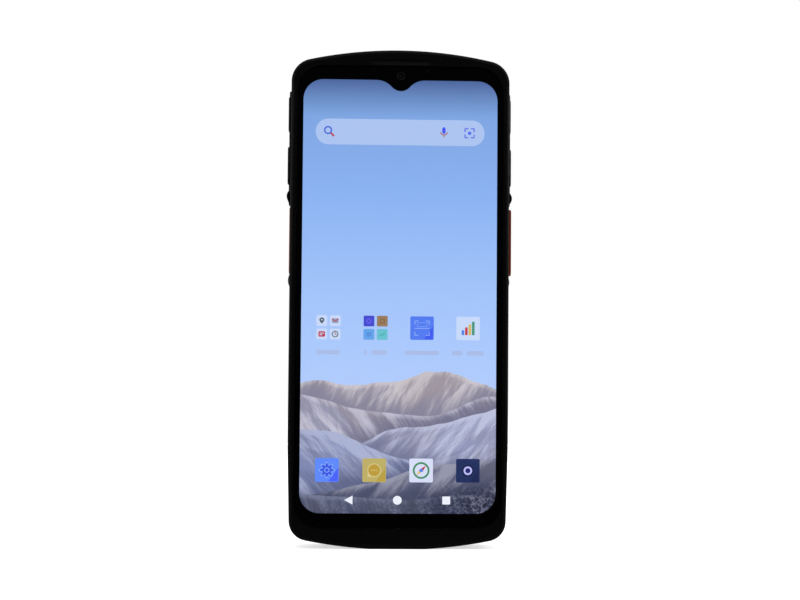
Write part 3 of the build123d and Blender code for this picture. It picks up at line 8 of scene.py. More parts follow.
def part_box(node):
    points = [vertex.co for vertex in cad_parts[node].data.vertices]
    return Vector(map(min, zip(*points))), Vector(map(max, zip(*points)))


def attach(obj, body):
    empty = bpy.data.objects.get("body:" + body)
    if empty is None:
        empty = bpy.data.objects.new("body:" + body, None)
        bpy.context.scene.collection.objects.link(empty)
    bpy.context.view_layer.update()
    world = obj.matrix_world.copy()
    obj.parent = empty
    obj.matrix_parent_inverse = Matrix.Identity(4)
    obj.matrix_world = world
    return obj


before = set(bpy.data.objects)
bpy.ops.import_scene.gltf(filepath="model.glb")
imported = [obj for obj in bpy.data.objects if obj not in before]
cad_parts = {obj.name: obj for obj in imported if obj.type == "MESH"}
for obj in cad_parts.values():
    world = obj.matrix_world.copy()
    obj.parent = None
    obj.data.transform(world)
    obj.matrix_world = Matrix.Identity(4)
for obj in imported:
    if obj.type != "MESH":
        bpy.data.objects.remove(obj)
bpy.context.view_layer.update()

# ---------------------------------------------------------------- studio
# A white room: a pale floor under the upright device, two tall softboxes beside it, one over it
# and one behind it. In a mirror the wall behind the device is pale and the wall behind the camera
# is dark, so that the black glass shows a dark room, as it does in a real product shot.


class Value:
    """A socket that can stand in a sum: each operator adds one Math node fed by both sides."""

    def __init__(self, finish, socket):
        self.finish = finish
        self.socket = socket

    def count(self, operation, *terms):
        """One Math node over the terms, which are values or numbers."""
        sockets = dict(enumerate(terms))
        return self.finish.node("ShaderNodeMath", {"operation": operation}, sockets)

    def __add__(self, other):
        return self.count("ADD", self, other)

    def __sub__(self, other):
        return self.count("SUBTRACT", self, other)

    def __rsub__(self, other):
        return self.count("SUBTRACT", other, self)

    def __mul__(self, other):
        return self.count("MULTIPLY", self, other)

    def __truediv__(self, other):
        return self.count("DIVIDE", self, other)

    def __pow__(self, other):
        return self.count("POWER", self, other)

    def __abs__(self):
        return self.count("ABSOLUTE", self)

    __radd__ = __add__
    __rmul__ = __mul__


class Finish:
    """A node tree in the making: node() adds any node, the other methods name the usual ones."""

    def __init__(self, owner, output="ShaderNodeOutputMaterial"):
        owner.use_nodes = True
        self.owner = owner
        self.tree = owner.node_tree
        self.tree.nodes.clear()
        self.output = self.tree.nodes.new(output)

    def node(self, kind, settings=None, sockets=None, out=0):
        """Adds a node, makes its settings, then fills or links its sockets, and gives one output."""
        made = self.tree.nodes.new(kind)
        for name, value in (settings or {}).items():
            if name == "stops":
                ramp = made.color_ramp
                while len(ramp.elements) < len(value):
                    ramp.elements.new(0.5)
                for element, (position, colour) in zip(ramp.elements, value):
                    element.position = position
                    element.color = (*colour, 1)
            else:
                setattr(made, name, value)
        for key, value in (sockets or {}).items():
            if isinstance(value, Value):
                self.tree.links.new(value.socket, made.inputs[key])
            else:
                made.inputs[key].default_value = value
        return Value(self, made.outputs[out])

    def close(self, shader):
        """Links a shader to the surface output and gives back the material or world."""
        self.tree.links.new(shader.socket, self.output.inputs["Surface"])
        return self.owner

    def span(self, value, low, high, first=0.0, last=1.0):
        """A smooth step: first below low, last above high, and an S-curve between them."""
        sockets = {0: value, 1: low, 2: high, 3: first, 4: last}
        return self.node("ShaderNodeMapRange", {"interpolation_type": "SMOOTHSTEP"}, sockets)

    def tint(self, mask, first, second):
        """The first colour where the mask is 0 and the second where it is 1."""
        sockets = {0: mask, 6: first, 7: second}
        for key in (6, 7):
            if not isinstance(sockets[key], Value):
                sockets[key] = (*sockets[key], 1)
        return self.node("ShaderNodeMix", {"data_type": "RGBA"}, sockets, out=2)

    def place(self, turn=(0, 0, 0), stretch=(1, 1, 1)):
        """The point on the device in millimetres, along turned axes: a pattern on it comes out
        stretched so many times along each of them."""
        point = self.node("ShaderNodeTexCoord", out=3)
        laid = {"Vector": point, "Rotation": turn, "Scale": [0.001 * s for s in stretch]}
        return self.node("ShaderNodeMapping", {"vector_type": "TEXTURE"}, laid)

    def moved(self, place, step):
        """The place, moved by a step for another sample of the same pattern."""
        return self.node("ShaderNodeVectorMath", {"operation": "ADD"}, {0: place, 1: step})

    def parts(self, vector):
        """The x, y and z of a vector as three values."""
        made = self.node("ShaderNodeSeparateXYZ", None, {0: vector}).socket.node
        return [Value(self, socket) for socket in made.outputs]

    def noise(self, place, size, detail=2.0, roughness=0.5, out=0):
        """Cloudy noise from 0 to 1 whose largest lumps are about size millimetres wide. Its second
        output holds three such noises, as a colour."""
        sockets = {"Vector": place, "Scale": 1 / size, "Detail": detail, "Roughness": roughness}
        return self.node("ShaderNodeTexNoise", None, sockets, out)

    def cells(self, place, size):
        """Distance within cells about size millimetres wide, from 0 at each cell's heart."""
        return self.node("ShaderNodeTexVoronoi", None, {"Vector": place, "Scale": 1 / size})

    def wave(self, value, pitch):
        """A sine from -1 to 1 that comes round each time the value grows by the pitch."""
        return self.node("ShaderNodeMath", {"operation": "SINE"}, {0: value * (2 * math.pi / pitch)})

    def relief(self, height, depth):
        """A normal for a height from 0 to 1 that stands depth millimetres high."""
        sockets = {"Height": height, "Distance": depth / 1000, "Strength": 1.0}
        return self.node("ShaderNodeBump", None, sockets)

    def surface(self, sockets):
        """One Principled shader with these sockets, linked to the output."""
        return self.close(self.node("ShaderNodeBsdfPrincipled", None, sockets))


def new_finish(name):
    """A finish on a new material of this name."""
    return Finish(bpy.data.materials.new(name))


# What the camera sees behind the device is white. Mirrored and refracted rays see the two walls,
# and every other ray gets the even fill light.
white = (1.0, 1.0, 1.0)
world = bpy.data.worlds.new("studio")
bpy.context.scene.world = world
room = Finish(world, "ShaderNodeOutputWorld")
rays = room.node("ShaderNodeLightPath").socket.node
seen = Value(room, rays.outputs["Is Camera Ray"])
mirrored = Value(room, rays.outputs["Is Glossy Ray"])
refracted = Value(room, rays.outputs["Is Transmission Ray"])
bounce = mirrored + refracted * (1 - mirrored)
across = room.parts(room.node("ShaderNodeTexCoord"))[1]
wall_behind_camera = 0.02
wall_behind_device = 0.7
fill_light = 0.48
wall = room.span(across, -0.75, 0.35, wall_behind_camera, wall_behind_device)
unseen = bounce * wall + (1 - bounce) * fill_light
strength = seen + (1 - seen) * unseen
room.close(room.node("ShaderNodeBackground", None, {"Color": (*white, 1), "Strength": strength}))

# In a mirror, the floor in front of the device is about as dark as the wall behind the camera.
floor_half = 3.0
floor_glow = 0.62
floor_mesh = bpy.data.meshes.new("floor")
corners = floor_half * np.array([[-1, -1, 0], [1, -1, 0], [1, 1, 0], [-1, 1, 0]])
floor_mesh.from_pydata(corners.tolist(), [], [(0, 1, 2, 3)])
floor = bpy.data.objects.new("floor", floor_mesh)
bpy.context.scene.collection.objects.link(floor)
paint = new_finish("floor_paint")
floor_rays = paint.node("ShaderNodeLightPath").socket.node
floor_seen = Value(paint, floor_rays.outputs["Is Camera Ray"])
floor_mirrored = Value(paint, floor_rays.outputs["Is Glossy Ray"])
floor_y = paint.parts(paint.place())[1]
ahead = paint.span(floor_y, -30.0, 0.0, 1.0, 0.0)
pale_floor = (0.82, 0.82, 0.82)
unlit_floor = (0.012, 0.012, 0.012)
cover = paint.tint(floor_mirrored * ahead, pale_floor, unlit_floor)
matt = paint.node("ShaderNodeBsdfDiffuse", None, {"Color": cover})
glow = paint.node("ShaderNodeEmission", None, {"Color": (*white, 1), "Strength": floor_seen * floor_glow})
lit_paint = paint.node("ShaderNodeAddShader", None, {0: matt, 1: glow})
floor_mesh.materials.append(paint.close(lit_paint))

device_middle = Vector((0, 0, 0.087))


def softbox(name, spot, width, height, watts):
    """A rectangular lamp at spot that faces the middle of the device."""
    lamp = bpy.data.lights.new(name, "AREA")
    lamp.shape = "RECTANGLE"
    lamp.size = width
    lamp.size_y = height
    lamp.energy = watts
    holder = bpy.data.objects.new(name, lamp)
    bpy.context.scene.collection.objects.link(holder)
    holder.location = spot
    aim = holder.location - device_middle
    holder.rotation_mode = "QUATERNION"
    holder.rotation_quaternion = aim.to_track_quat("Z", "Y")


softbox("softbox_left", (-0.80, -0.38, 0.42), 0.35, 0.80, 3.1)
softbox("softbox_right", (0.80, -0.38, 0.42), 0.35, 0.80, 3.1)
softbox("softbox_top", (0.0, -0.12, 0.90), 0.90, 0.40, 3.6)
softbox("softbox_back", (0.45, 0.80, 0.55), 0.60, 0.60, 3.5)

# The camera stands half a metre in front, a little low and a little to the left.
camera_distance = 0.500
camera_yaw = math.radians(-2.00)
camera_pitch = math.radians(-2.57)
camera_roll = math.radians(0.46)
camera_target = Vector((0.00055, 0, 0.08640))
focal_pixels = 1416.6
image_width = 800
sensor_width = 36.0
back = Vector((
    math.sin(camera_yaw) * math.cos(camera_pitch),
    -math.cos(camera_yaw) * math.cos(camera_pitch),
    math.sin(camera_pitch),
))
level = Vector((math.cos(camera_yaw), math.sin(camera_yaw), 0))
upward = back.cross(level)
right = math.cos(camera_roll) * level + math.sin(camera_roll) * upward
up = math.cos(camera_roll) * upward - math.sin(camera_roll) * level
camera_data = bpy.data.cameras.new("camera")
camera_data.sensor_width = sensor_width
camera_data.lens = focal_pixels * sensor_width / image_width
camera_data.clip_start = 0.01
camera = bpy.data.objects.new("camera", camera_data)
bpy.context.scene.collection.objects.link(camera)
turn = Matrix((right, up, back)).transposed()
camera.matrix_world = Matrix.Translation(camera_target + camera_distance * back) @ turn.to_4x4()
bpy.context.scene.camera = camera
bpy.context.scene.view_settings.view_transform = "Standard"

# ---------------------------------------------------------------- mid frame
# The mid frame is a die-cast magnesium plate that everything is screwed to. It is left bare
# inside the case, with the fine orange-peel skin of the casting, and its screws are zinc plated.


def dress(material, *names):
    """Gives CAD nodes one finish in the one material slot that each has."""
    for name in names:
        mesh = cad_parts[name].data
        mesh.materials.clear()
        mesh.materials.append(material)


def cast_metal(name, colour, dark, roughness, lump):
    """Bare metal: two greys mixed by cloudy noise of one lump size, and a skin of finer lumps."""
    finish = new_finish(name)
    place = finish.place()
    clouds = finish.noise(place, lump, 4.0)
    skin = finish.noise(place, lump / 8, 3.0)
    return finish.surface({
        "Base Color": finish.tint(finish.span(clouds, 0.35, 0.65), dark, colour),
        "Metallic": 1.0,
        "Roughness": roughness + 0.12 * (skin - 0.5),
        "Normal": finish.relief(skin, 0.012),
    })


magnesium = cast_metal("cast_magnesium", (0.46, 0.47, 0.49), (0.33, 0.34, 0.36), roughness=0.48, lump=3.0)
dress(magnesium, "mid_frame")
zinc = cast_metal("zinc_plate", (0.66, 0.66, 0.68), (0.5, 0.5, 0.53), roughness=0.32, lump=0.8)
dress(zinc, "board_screws")

# ---------------------------------------------------------------- display panel
# The panel is a lit LCD. It shows a blue sky that pales towards the horizon, over rows of bare
# grey and sandy hills whose lit crests stand against the shaded foot of the row behind.


def shade(red, green, blue):
    """A screen colour given from 0 to 255, as the linear colour that the shader takes."""
    share = np.array([red, green, blue]) / 255
    linear = np.where(share > 0.04045, ((share + 0.055) / 1.055) ** 2.4, share / 12.92)
    return tuple(linear.tolist())


panel = new_finish("lit_panel")
point = panel.place()
px, _, pz = panel.parts(point)
sky_foot = 56.0
sky_head = 163.1
sky_stops = [
    (0.00, shade(177, 204, 252)),
    (0.28, shade(164, 197, 250)),
    (0.62, shade(140, 179, 241)),
    (0.88, shade(127, 166, 225)),
    (1.00, shade(76, 102, 156)),
]
climb = (pz - sky_foot) / (sky_head - sky_foot)
picture = panel.node("ShaderNodeValToRGB", {"stops": sky_stops}, {0: climb})


def swell(centre, half, height):
    """A smooth hill in a crest line: height at the centre, nothing beyond half on either side."""
    return height * panel.span(abs(px - centre), 0.0, half, 1.0, 0.0)


def slope(place, size, step, strength, detail):
    """The light that falls on noise from one side: how much it rises over a step that way."""
    rise = panel.noise(place, size, detail) - panel.noise(panel.moved(place, step), size, detail)
    return rise * strength


def crags(place, size, step, strength):
    """The same for cones that meet in sharp creases, one on each cell."""
    rise = panel.cells(place, size) - panel.cells(panel.moved(place, step), size)
    return rise * strength


# The relief of a hill at four scales: the size of its lumps in millimetres, the step over which
# they are compared, and how strongly that lights them.
broad_folds = (15.0, (2.4, 0, 0.5), 2.0)
sharp_crags = (8.0, (0.9, 0, 0.2), 2.2)
narrow_gullies = (5.0, (0.7, 0, 0.1), 2.4)
fine_streaks = (1.3, (0.25, 0, 0), 1.2)
crest_glint = 0.3
earth_size = 11.0
earth_cover = 0.5
hollow_height = 9.0


def hill_row(under, crest, nearer, lean, lit, dusk, foot, sand, seed):
    """Lays one row of hills over the picture. Its light is the slope of broad folds, of crags, of
    narrow gullies and of fine streaks, all drawn out along a leaning line. Bare earth shows through
    in patches. It darkens towards the nearer row, and its own crest catches the light."""
    folds = panel.moved(panel.place((0, lean, 0), (1, 1, 2.4)), (seed, 0, seed))
    gullies = panel.moved(panel.place((0, lean * 0.8, 0), (1, 1, 4.0)), (seed, 0, seed))
    bent = panel.moved(folds, panel.noise(folds, 5.0, out=1))
    light = 0.5 + slope(folds, *broad_folds, detail=1.0) + crags(bent, *sharp_crags)
    light = light + slope(gullies, *narrow_gullies, detail=4.0)
    light = light + slope(gullies, *fine_streaks, detail=4.0)
    below = crest - pz
    light = light + panel.span(below, 0.3, 2.2, crest_glint, 0.0)
    colour = panel.tint(panel.span(light, 0.2, 0.86), dusk, lit)
    earth = panel.span(panel.noise(folds, earth_size, 4.0), 0.44, 0.66, 0.0, earth_cover)
    colour = panel.tint(earth * panel.span(light, 0.3, 0.9, 1.0, 0.3), colour, sand)
    hollow = panel.span(pz - nearer + (light - 0.5) * 5.0, -1.0, hollow_height, 1.0, 0.0)
    colour = panel.tint(hollow, colour, foot)
    return panel.tint(panel.span(below, -0.12, 0.12), under, colour)


# The crest lines from the farthest row to the nearest, then a last one below the picture.
ragged = (panel.noise(point, 8.0, 5.0, 0.5) - 0.5) * 2.6
crests = [
    55.0 + swell(14, 24, 6.5) + swell(-27, 17, 3.0) + swell(-8, 11, 2.2) + ragged,
    46.5 - 0.10 * px + swell(34, 26, 9.5) + swell(-34, 22, 3.0) + ragged * 0.7,
    39.5 + 0.26 * px + swell(-2, 14, 2.2) + ragged * 0.8,
    31.5 - 0.24 * px + swell(-22, 20, 3.5) + ragged * 0.8,
    24.5 + 0.20 * px + swell(10, 18, 2.0) + ragged * 0.6,
    17.0 - 0.05 * px + swell(24, 22, 3.0) + ragged * 0.5,
    5.0,
]
# For each row the lean of its folds, then its colours in the light, in the shade, at the foot and
# on bare earth.
tones = [
    (0.62, (204, 198, 204), (158, 153, 170), (136, 133, 154), (160, 147, 148)),
    (-0.70, (196, 194, 212), (148, 147, 172), (118, 116, 140), (150, 139, 144)),
    (0.85, (190, 194, 221), (146, 152, 186), (118, 122, 152), (138, 130, 142)),
    (-0.95, (172, 179, 210), (128, 138, 178), (96, 103, 138), (118, 116, 132)),
    (0.9, (150, 152, 172), (102, 106, 134), (74, 79, 106), (92, 90, 103)),
    (-0.4, (118, 123, 149), (74, 80, 107), (64, 70, 96), (82, 82, 97)),
]
for row, (lean, *colours) in enumerate(tones):
    seed = 7.0 + 29.0 * row
    picture = hill_row(picture, crests[row], crests[row + 1], lean, *(shade(*c) for c in colours), seed)

# Low scrub covers the foot of the picture, darker to the right.
scrub_size = 0.9
scrub_reach = 23.0
scrub = panel.span(panel.noise(point, scrub_size, 4.0, 0.7), 0.40, 0.56)
scrub_tone = panel.tint(panel.span(px, -5.0, 28.0), shade(72, 77, 100), shade(24, 29, 50))
ground = panel.span(pz - 0.12 * px, 12.0, scrub_reach, 0.95, 0.0)
picture = panel.tint(ground * scrub, picture, scrub_tone)
panel_gain = 1.085
dress(panel.surface({
    "Base Color": (0.002, 0.002, 0.003, 1),
    "Roughness": 0.5,
    "Emission Color": picture,
    "Emission Strength": panel_gain,
}), "lcd_panel")

# ---------------------------------------------------------------- symbols on the display
# Everything that the lit display shows over its picture: the search bar, two rows of plain
# picture tiles, a plain bar under each and the three buttons at the foot. Each is a thin lit
# plate in the 0.15 mm between the panel and the glass, one layer over another.


def corners_of(name):
    """The low and the high corner of a CAD node's box, in millimetres."""
    return [corner * 1000 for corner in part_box(name)]


panel_front = corners_of("lcd_panel")[0].y
panel_gap = 0.004
layer_pitch = 0.022
layer_thickness = 0.017
corner_parts = 28
arc_parts = 17


def rounded(width, height, radius):
    """Outline of a rectangle with round corners: each point is its corner's centre plus radius
    times (cos, sin) of its angle."""
    angle = (np.arange(corner_parts) + 0.5) * 2 * np.pi / corner_parts
    turned = np.stack([np.cos(angle), np.sin(angle)], 1)
    return np.sign(turned) * (np.array([width, height]) / 2 - radius) + radius * turned


def disc(radius):
    """Outline of a circle."""
    return rounded(2 * radius, 2 * radius, radius)


def gear(radius, teeth, depth):
    """Outline of a gear: the radius swings by depth with a flattened cosine of the angle."""
    angle = np.linspace(0, 2 * np.pi, 12 * teeth, endpoint=False)
    reach = radius + depth * np.tanh(2.5 * np.cos(teeth * angle))
    return np.stack([reach * np.sin(angle), reach * np.cos(angle)], 1)


def stroke(path, width):
    """Outline of a line of one width: the path moved aside by half the width along its normal,
    and back along the other side."""
    path = np.asarray(path, float)
    along = np.gradient(path, axis=0)
    along /= np.linalg.norm(along, axis=1)[:, None]
    aside = np.stack([-along[:, 1], along[:, 0]], 1) * width / 2
    return np.concatenate([path - aside, (path + aside)[::-1]])


def arc(radius, first, last):
    """Points on a circle between two angles in degrees."""
    angle = np.radians(np.linspace(first, last, arc_parts))
    return radius * np.stack([np.cos(angle), np.sin(angle)], 1)


marks = []


def mark(outline, x, z, layer, colour, hole=None):
    """Notes one plate: its outline, an outline of its hole, its centre, layer and colour."""
    marks.append((outline, hole, (x, z), layer, shade(*colour)))


def brackets(x, z, size, leg, width, layer, colour):
    """Four corner brackets round a square, the common sign for scanning."""
    for sx in (-1, 1):
        for sz in (-1, 1):
            corner = [(sx * (size - leg), sz * size), (sx * size, sz * size)]
            mark(stroke(corner, width), x, z, layer, colour)
            side = [(sx * size, sz * size), (sx * size, sz * (size - leg))]
            mark(stroke(side, width), x, z, layer, colour)


# The search bar: a looking glass at its left, a microphone and a scan sign at its right.
bar = (-0.08, 144.74)
looking_glass = (-25.3, 145.2)
microphone_x = 15.2
scan_sign = (24.2, 144.75)
mark(rounded(59.1, 9.1, 4.5), *bar, 0, (173, 196, 240))
mark(disc(1.45), *looking_glass, 1, (72, 104, 214), hole=disc(0.92))
mark(stroke([(1.0, -1.0), (2.1, -2.1)], 0.62), *looking_glass, 1, (188, 62, 58))
mark(rounded(1.15, 2.3, 0.57), microphone_x, 145.6, 1, (70, 84, 244))
mark(stroke(arc(1.25, 195, 345), 0.36), microphone_x, 145.3, 1, (176, 96, 92))
mark(rounded(0.4, 1.0, 0.1), microphone_x, 143.7, 1, (150, 128, 96))
brackets(*scan_sign, 1.6, 1.15, 0.42, 1, (96, 106, 226))
mark(disc(0.62), *scan_sign, 1, (84, 108, 240))

# The upper row of tiles: two folders of four small ones, a scan tile and a bar chart.
tile_row = 76.35
tile_columns = (-24.46, -8.11, 8.04, 24.09)
small_step = 2.32
small_size = 3.75


def four_small(x, z, colours):
    """A folder: four small square tiles in two rows. Gives their centres."""
    spots = [(x - small_step, z + small_step), (x + small_step, z + small_step),
             (x - small_step, z - small_step), (x + small_step, z - small_step)]
    for spot, colour in zip(spots, colours):
        mark(rounded(small_size, small_size, 0.45), *spot, 0, colour)
    return spots


# In the first folder a map pin, an envelope, a card with two lines and a clock.
pale = (202, 217, 249)
spots = four_small(tile_columns[0], tile_row, [pale] * 4)
drop = np.concatenate([arc(0.85, -20, 200), [(0.0, -1.35)]])
mark(drop, spots[0][0], spots[0][1] + 0.25, 1, (66, 84, 92))
mark(disc(0.3), spots[0][0], spots[0][1] + 0.3, 2, pale)
mark(rounded(2.3, 1.6, 0.15), *spots[1], 1, (150, 160, 190))
mark(stroke([(-1.1, 0.7), (0, -0.25), (1.1, 0.7)], 0.4), *spots[1], 2, (176, 62, 70))
mark(rounded(2.3, 1.9, 0.45), *spots[2], 1, (190, 52, 72))
mark(rounded(1.5, 0.28, 0.1), spots[2][0], spots[2][1] + 0.3, 2, pale)
mark(rounded(1.0, 0.28, 0.1), spots[2][0] - 0.25, spots[2][1] - 0.3, 2, pale)
mark(disc(1.15), *spots[3], 1, (96, 122, 130), hole=disc(0.78))
mark(stroke([(0, 0.7), (0, 0), (0.5, -0.3)], 0.3), *spots[3], 1, (176, 84, 84))

# In the second a ring, a frame, a plain card and a rising line.
folder_colours = ((70, 74, 208), (154, 124, 92), (100, 164, 234), (104, 194, 208))
spots = four_small(tile_columns[1], tile_row, folder_colours)
mark(disc(0.9), *spots[0], 1, (104, 96, 236), hole=disc(0.5))
mark(rounded(1.7, 1.7, 0.2), *spots[1], 1, (130, 98, 62), hole=rounded(1.1, 1.1, 0.1))
mark(rounded(1.9, 1.5, 0.4), *spots[2], 1, (88, 146, 222))
mark(stroke([(-0.9, -0.6), (-0.1, 0.1), (0.2, -0.2), (0.9, 0.6)], 0.36), *spots[3], 1, (70, 172, 160))

tile_size = 8.2


def tile(x, z, colour, dark):
    """A square tile with its lower right half a little darker, as if a plate on it cast a shadow."""
    mark(rounded(tile_size, tile_size, 0.5), x, z, 0, colour)
    if dark:
        half = tile_size / 2 - 0.25
        mark([(half, half * 0.2), (half * 0.15, -half), (half, -half)], x, z, 1, dark)


# The scan tile has brackets round a line and a small frame; the chart has four columns.
line_blue = (150, 182, 250)
tile(tile_columns[2], tile_row, (84, 124, 240), (66, 92, 240))
brackets(tile_columns[2], tile_row, 2.5, 1.2, 0.26, 2, line_blue)
mark(rounded(5.2, 0.24, 0.1), tile_columns[2], tile_row - 0.1, 2, line_blue)
frame_hole = rounded(3.2, 1.2, 0.1)
mark(rounded(3.6, 1.6, 0.2), tile_columns[2], tile_row + 1.2, 2, (126, 162, 248), hole=frame_hole)
tile(tile_columns[3], tile_row, (201, 218, 249), None)
chart_foot = tile_row - 2.3
chart_left = tile_columns[3] - 1.8
chart_pitch = 1.2
chart_colours = ((84, 130, 228), (196, 62, 78), (214, 186, 92), (70, 150, 122))
for step, colour in enumerate(chart_colours):
    tall = 1.7 + step
    column = rounded(0.92, tall, 0.12)
    mark(column, chart_left + chart_pitch * step, chart_foot + tall / 2, 1, colour)

# The captions: each a row of plain bars of these lengths, centred under its tile.
caption_row = 67.75
caption_height = 1.5
caption_gap = 1.5
captions = ((8.1,), (1.1, 5.4), (11.8,), (3.6, 6.0))
for x, bars in zip(tile_columns, captions):
    at = x - (sum(bars) + caption_gap * (len(bars) - 1)) / 2
    for bar in bars:
        mark(rounded(bar, caption_height, 0.5), at + bar / 2, caption_row, 0, (171, 189, 231))
        at += bar + caption_gap

# The lower row of tiles: a gear, a speech bubble, a compass and a ring.
dock_row = 27.08
dock_columns = (-24.51, -8.16, 8.09, 24.29)
tile(dock_columns[0], dock_row, (96, 138, 250), (76, 98, 250))
mark(gear(2.35, 8, 0.42), dock_columns[0], dock_row, 2, (142, 176, 255))
mark(gear(2.0, 8, 0.4), dock_columns[0], dock_row, 3, (58, 88, 224))
mark(disc(0.92), dock_columns[0], dock_row, 4, (132, 166, 255), hole=disc(0.6))
bubble_rim = (218, 202, 138)
tile(dock_columns[1], dock_row, (191, 176, 104), (186, 160, 68))
mark(disc(2.35), dock_columns[1], dock_row, 2, bubble_rim)
mark([(-2.2, -0.6), (-0.4, -2.2), (-2.3, -2.4)], dock_columns[1], dock_row, 2, bubble_rim)
mark(disc(2.05), dock_columns[1], dock_row, 3, (190, 156, 60))
for step in (-1, 0, 1):
    mark(disc(0.26), dock_columns[1] + 0.85 * step, dock_row, 4, (214, 194, 126))
tile(dock_columns[2], dock_row, (217, 223, 247), None)
mark(disc(2.9), dock_columns[2], dock_row, 1, (66, 142, 96), hole=disc(2.25))
needle = np.array([(0.55, -0.35), (1.75, 1.75), (-0.55, 0.35)])
mark(needle, dock_columns[2], dock_row, 1, (196, 54, 50))
mark(-needle, dock_columns[2], dock_row, 1, (222, 192, 92))
mark(disc(0.62), dock_columns[2], dock_row, 2, (88, 132, 238))
tile(dock_columns[3], dock_row, (34, 48, 94), (29, 40, 84))
mark(disc(2.0), dock_columns[3], dock_row, 2, (22, 24, 62))
mark(disc(1.5), dock_columns[3], dock_row, 3, (186, 188, 248), hole=disc(0.85))
mark(disc(0.5), dock_columns[3], dock_row, 3, (40, 44, 130))

# The three buttons at the foot: a triangle, a disc and a square.
button_row = 16.78
button_columns = (-16.95, -0.08, 16.85)
button = (238, 241, 250)
mark([(1.4, 1.55), (-1.5, 0.0), (1.4, -1.55)], button_columns[0], button_row, 0, button)
mark(disc(1.53), button_columns[1], button_row, 0, button)
mark(rounded(2.75, 2.75, 0.25), button_columns[2], button_row, 0, button)

# Every plate becomes a front, a back and a wall between them; one with a hole has a second wall
# inside it, and a flat ring between the two walls in front and behind.
points, faces, tints = [], [], []
for outline, hole, centre, layer, colour in marks:
    outline = np.asarray(outline, float)
    if np.cross(outline, np.roll(outline, -1, 0)).sum() < 0:
        outline = outline[::-1]
    far_y = panel_front - panel_gap - layer_pitch * layer
    near_y = far_y - layer_thickness
    loops = [(outline, near_y), (outline, far_y)]
    if hole is not None:
        loops += [(hole, far_y), (hole, near_y)]
    count = len(outline)
    start = sum(len(ring) for ring in points)
    for loop, y in loops:
        flat = loop + np.array(centre)
        points.append(np.stack([flat[:, 0], np.full(count, y), flat[:, 1]], 1))
    step = np.arange(count)
    following = (step + 1) % count
    rings = len(loops)
    made = []
    for ring in range(rings if hole is not None else 1):
        here = start + ring * count
        next_ring = start + (ring + 1) % rings * count
        corners = [here + step, next_ring + step, next_ring + following, here + following]
        made += np.stack(corners, 1).tolist()
    if hole is None:
        made.append((start + step).tolist())
        made.append((start + count + step[::-1]).tolist())
    faces += made
    tints += [colour] * sum(len(face) for face in made)
symbol_mesh = bpy.data.meshes.new("display_symbols")
symbol_mesh.from_pydata((np.concatenate(points) / 1000).tolist(), [], faces)
corner_tints = np.insert(np.array(tints), 3, 1.0, axis=1).astype(np.float32)
layer_colour = symbol_mesh.color_attributes.new("symbol_colour", "FLOAT_COLOR", "CORNER")
layer_colour.data.foreach_set("color", corner_tints.ravel())
symbols = bpy.data.objects.new("display_symbols", symbol_mesh)
bpy.context.scene.collection.objects.link(symbols)
lit = new_finish("lit_symbols")
own_colour = lit.node("ShaderNodeAttribute", {"attribute_name": "symbol_colour"})
symbol_mesh.materials.append(lit.surface({
    "Base Color": (0.002, 0.002, 0.003, 1),
    "Roughness": 0.5,
    "Emission Color": own_colour,
    "Emission Strength": panel_gain,
}))
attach(symbols, "case")

# ---------------------------------------------------------------- cover glass and what looks through it
# A sheet of hardened glass, with the black border printed on a film behind it. The film leaves
# an eye for the front camera and two small windows for the light sensor and the charge lamp.

glass = new_finish("hard_glass")
smears = glass.noise(glass.place((0, 0.6, 0), (1, 1, 3)), 14.0, 3.0)
dress(glass.surface({
    "Base Color": (0.985, 0.99, 1.0, 1),
    "Roughness": 0.008 * glass.span(smears, 0.4, 0.75),
    "IOR": 1.5,
    "Transmission Weight": 1.0,
}), "cover_glass")


def moulded(name, colour, roughness, grain, depth, gloss):
    """Moulded plastic or rubber: a spark-eroded skin of lumps about grain millimetres wide and depth
    millimetres high, with the roughness and the tone a little uneven where hands and the mould
    have polished it."""
    finish = new_finish(name)
    place = finish.place()
    patches = finish.noise(place, 16.0, 4.0, 0.6)
    skin = finish.noise(place, grain, 3.0, 0.55)
    pits = finish.cells(place, grain * 1.6)
    lumps = skin * 0.7 + pits * 0.3
    unevenness = 0.15
    light = tuple(c * (1 + unevenness) for c in colour)
    dark = tuple(c * (1 - unevenness) for c in colour)
    return finish.surface({
        "Base Color": finish.tint(finish.span(patches * 0.5 + lumps * 0.5, 0.3, 0.7), dark, light),
        "Roughness": roughness + 0.16 * (patches - 0.5) + 0.08 * (skin - 0.5),
        "Specular IOR Level": gloss,
        "Normal": finish.relief(lumps, depth),
    })


printed_black = moulded(
    "printed_black", (0.0016, 0.0016, 0.0018), roughness=0.55, grain=0.25, depth=0.003, gloss=0.2
)
dress(printed_black, "display_gasket")


def middle_of(name):
    """The middle of a CAD node's box in millimetres: half the sum of its two corners."""
    low, high = corners_of(name)
    return (low + high) / 2


def off_axis(finish, middle):
    """How far a point lies from the axis along y through the middle: the root of the sum of its
    two offsets squared."""
    x, _, z = finish.parts(finish.place())
    aside, above = x - middle.x, z - middle.z
    return (aside * aside + above * above) ** 0.5


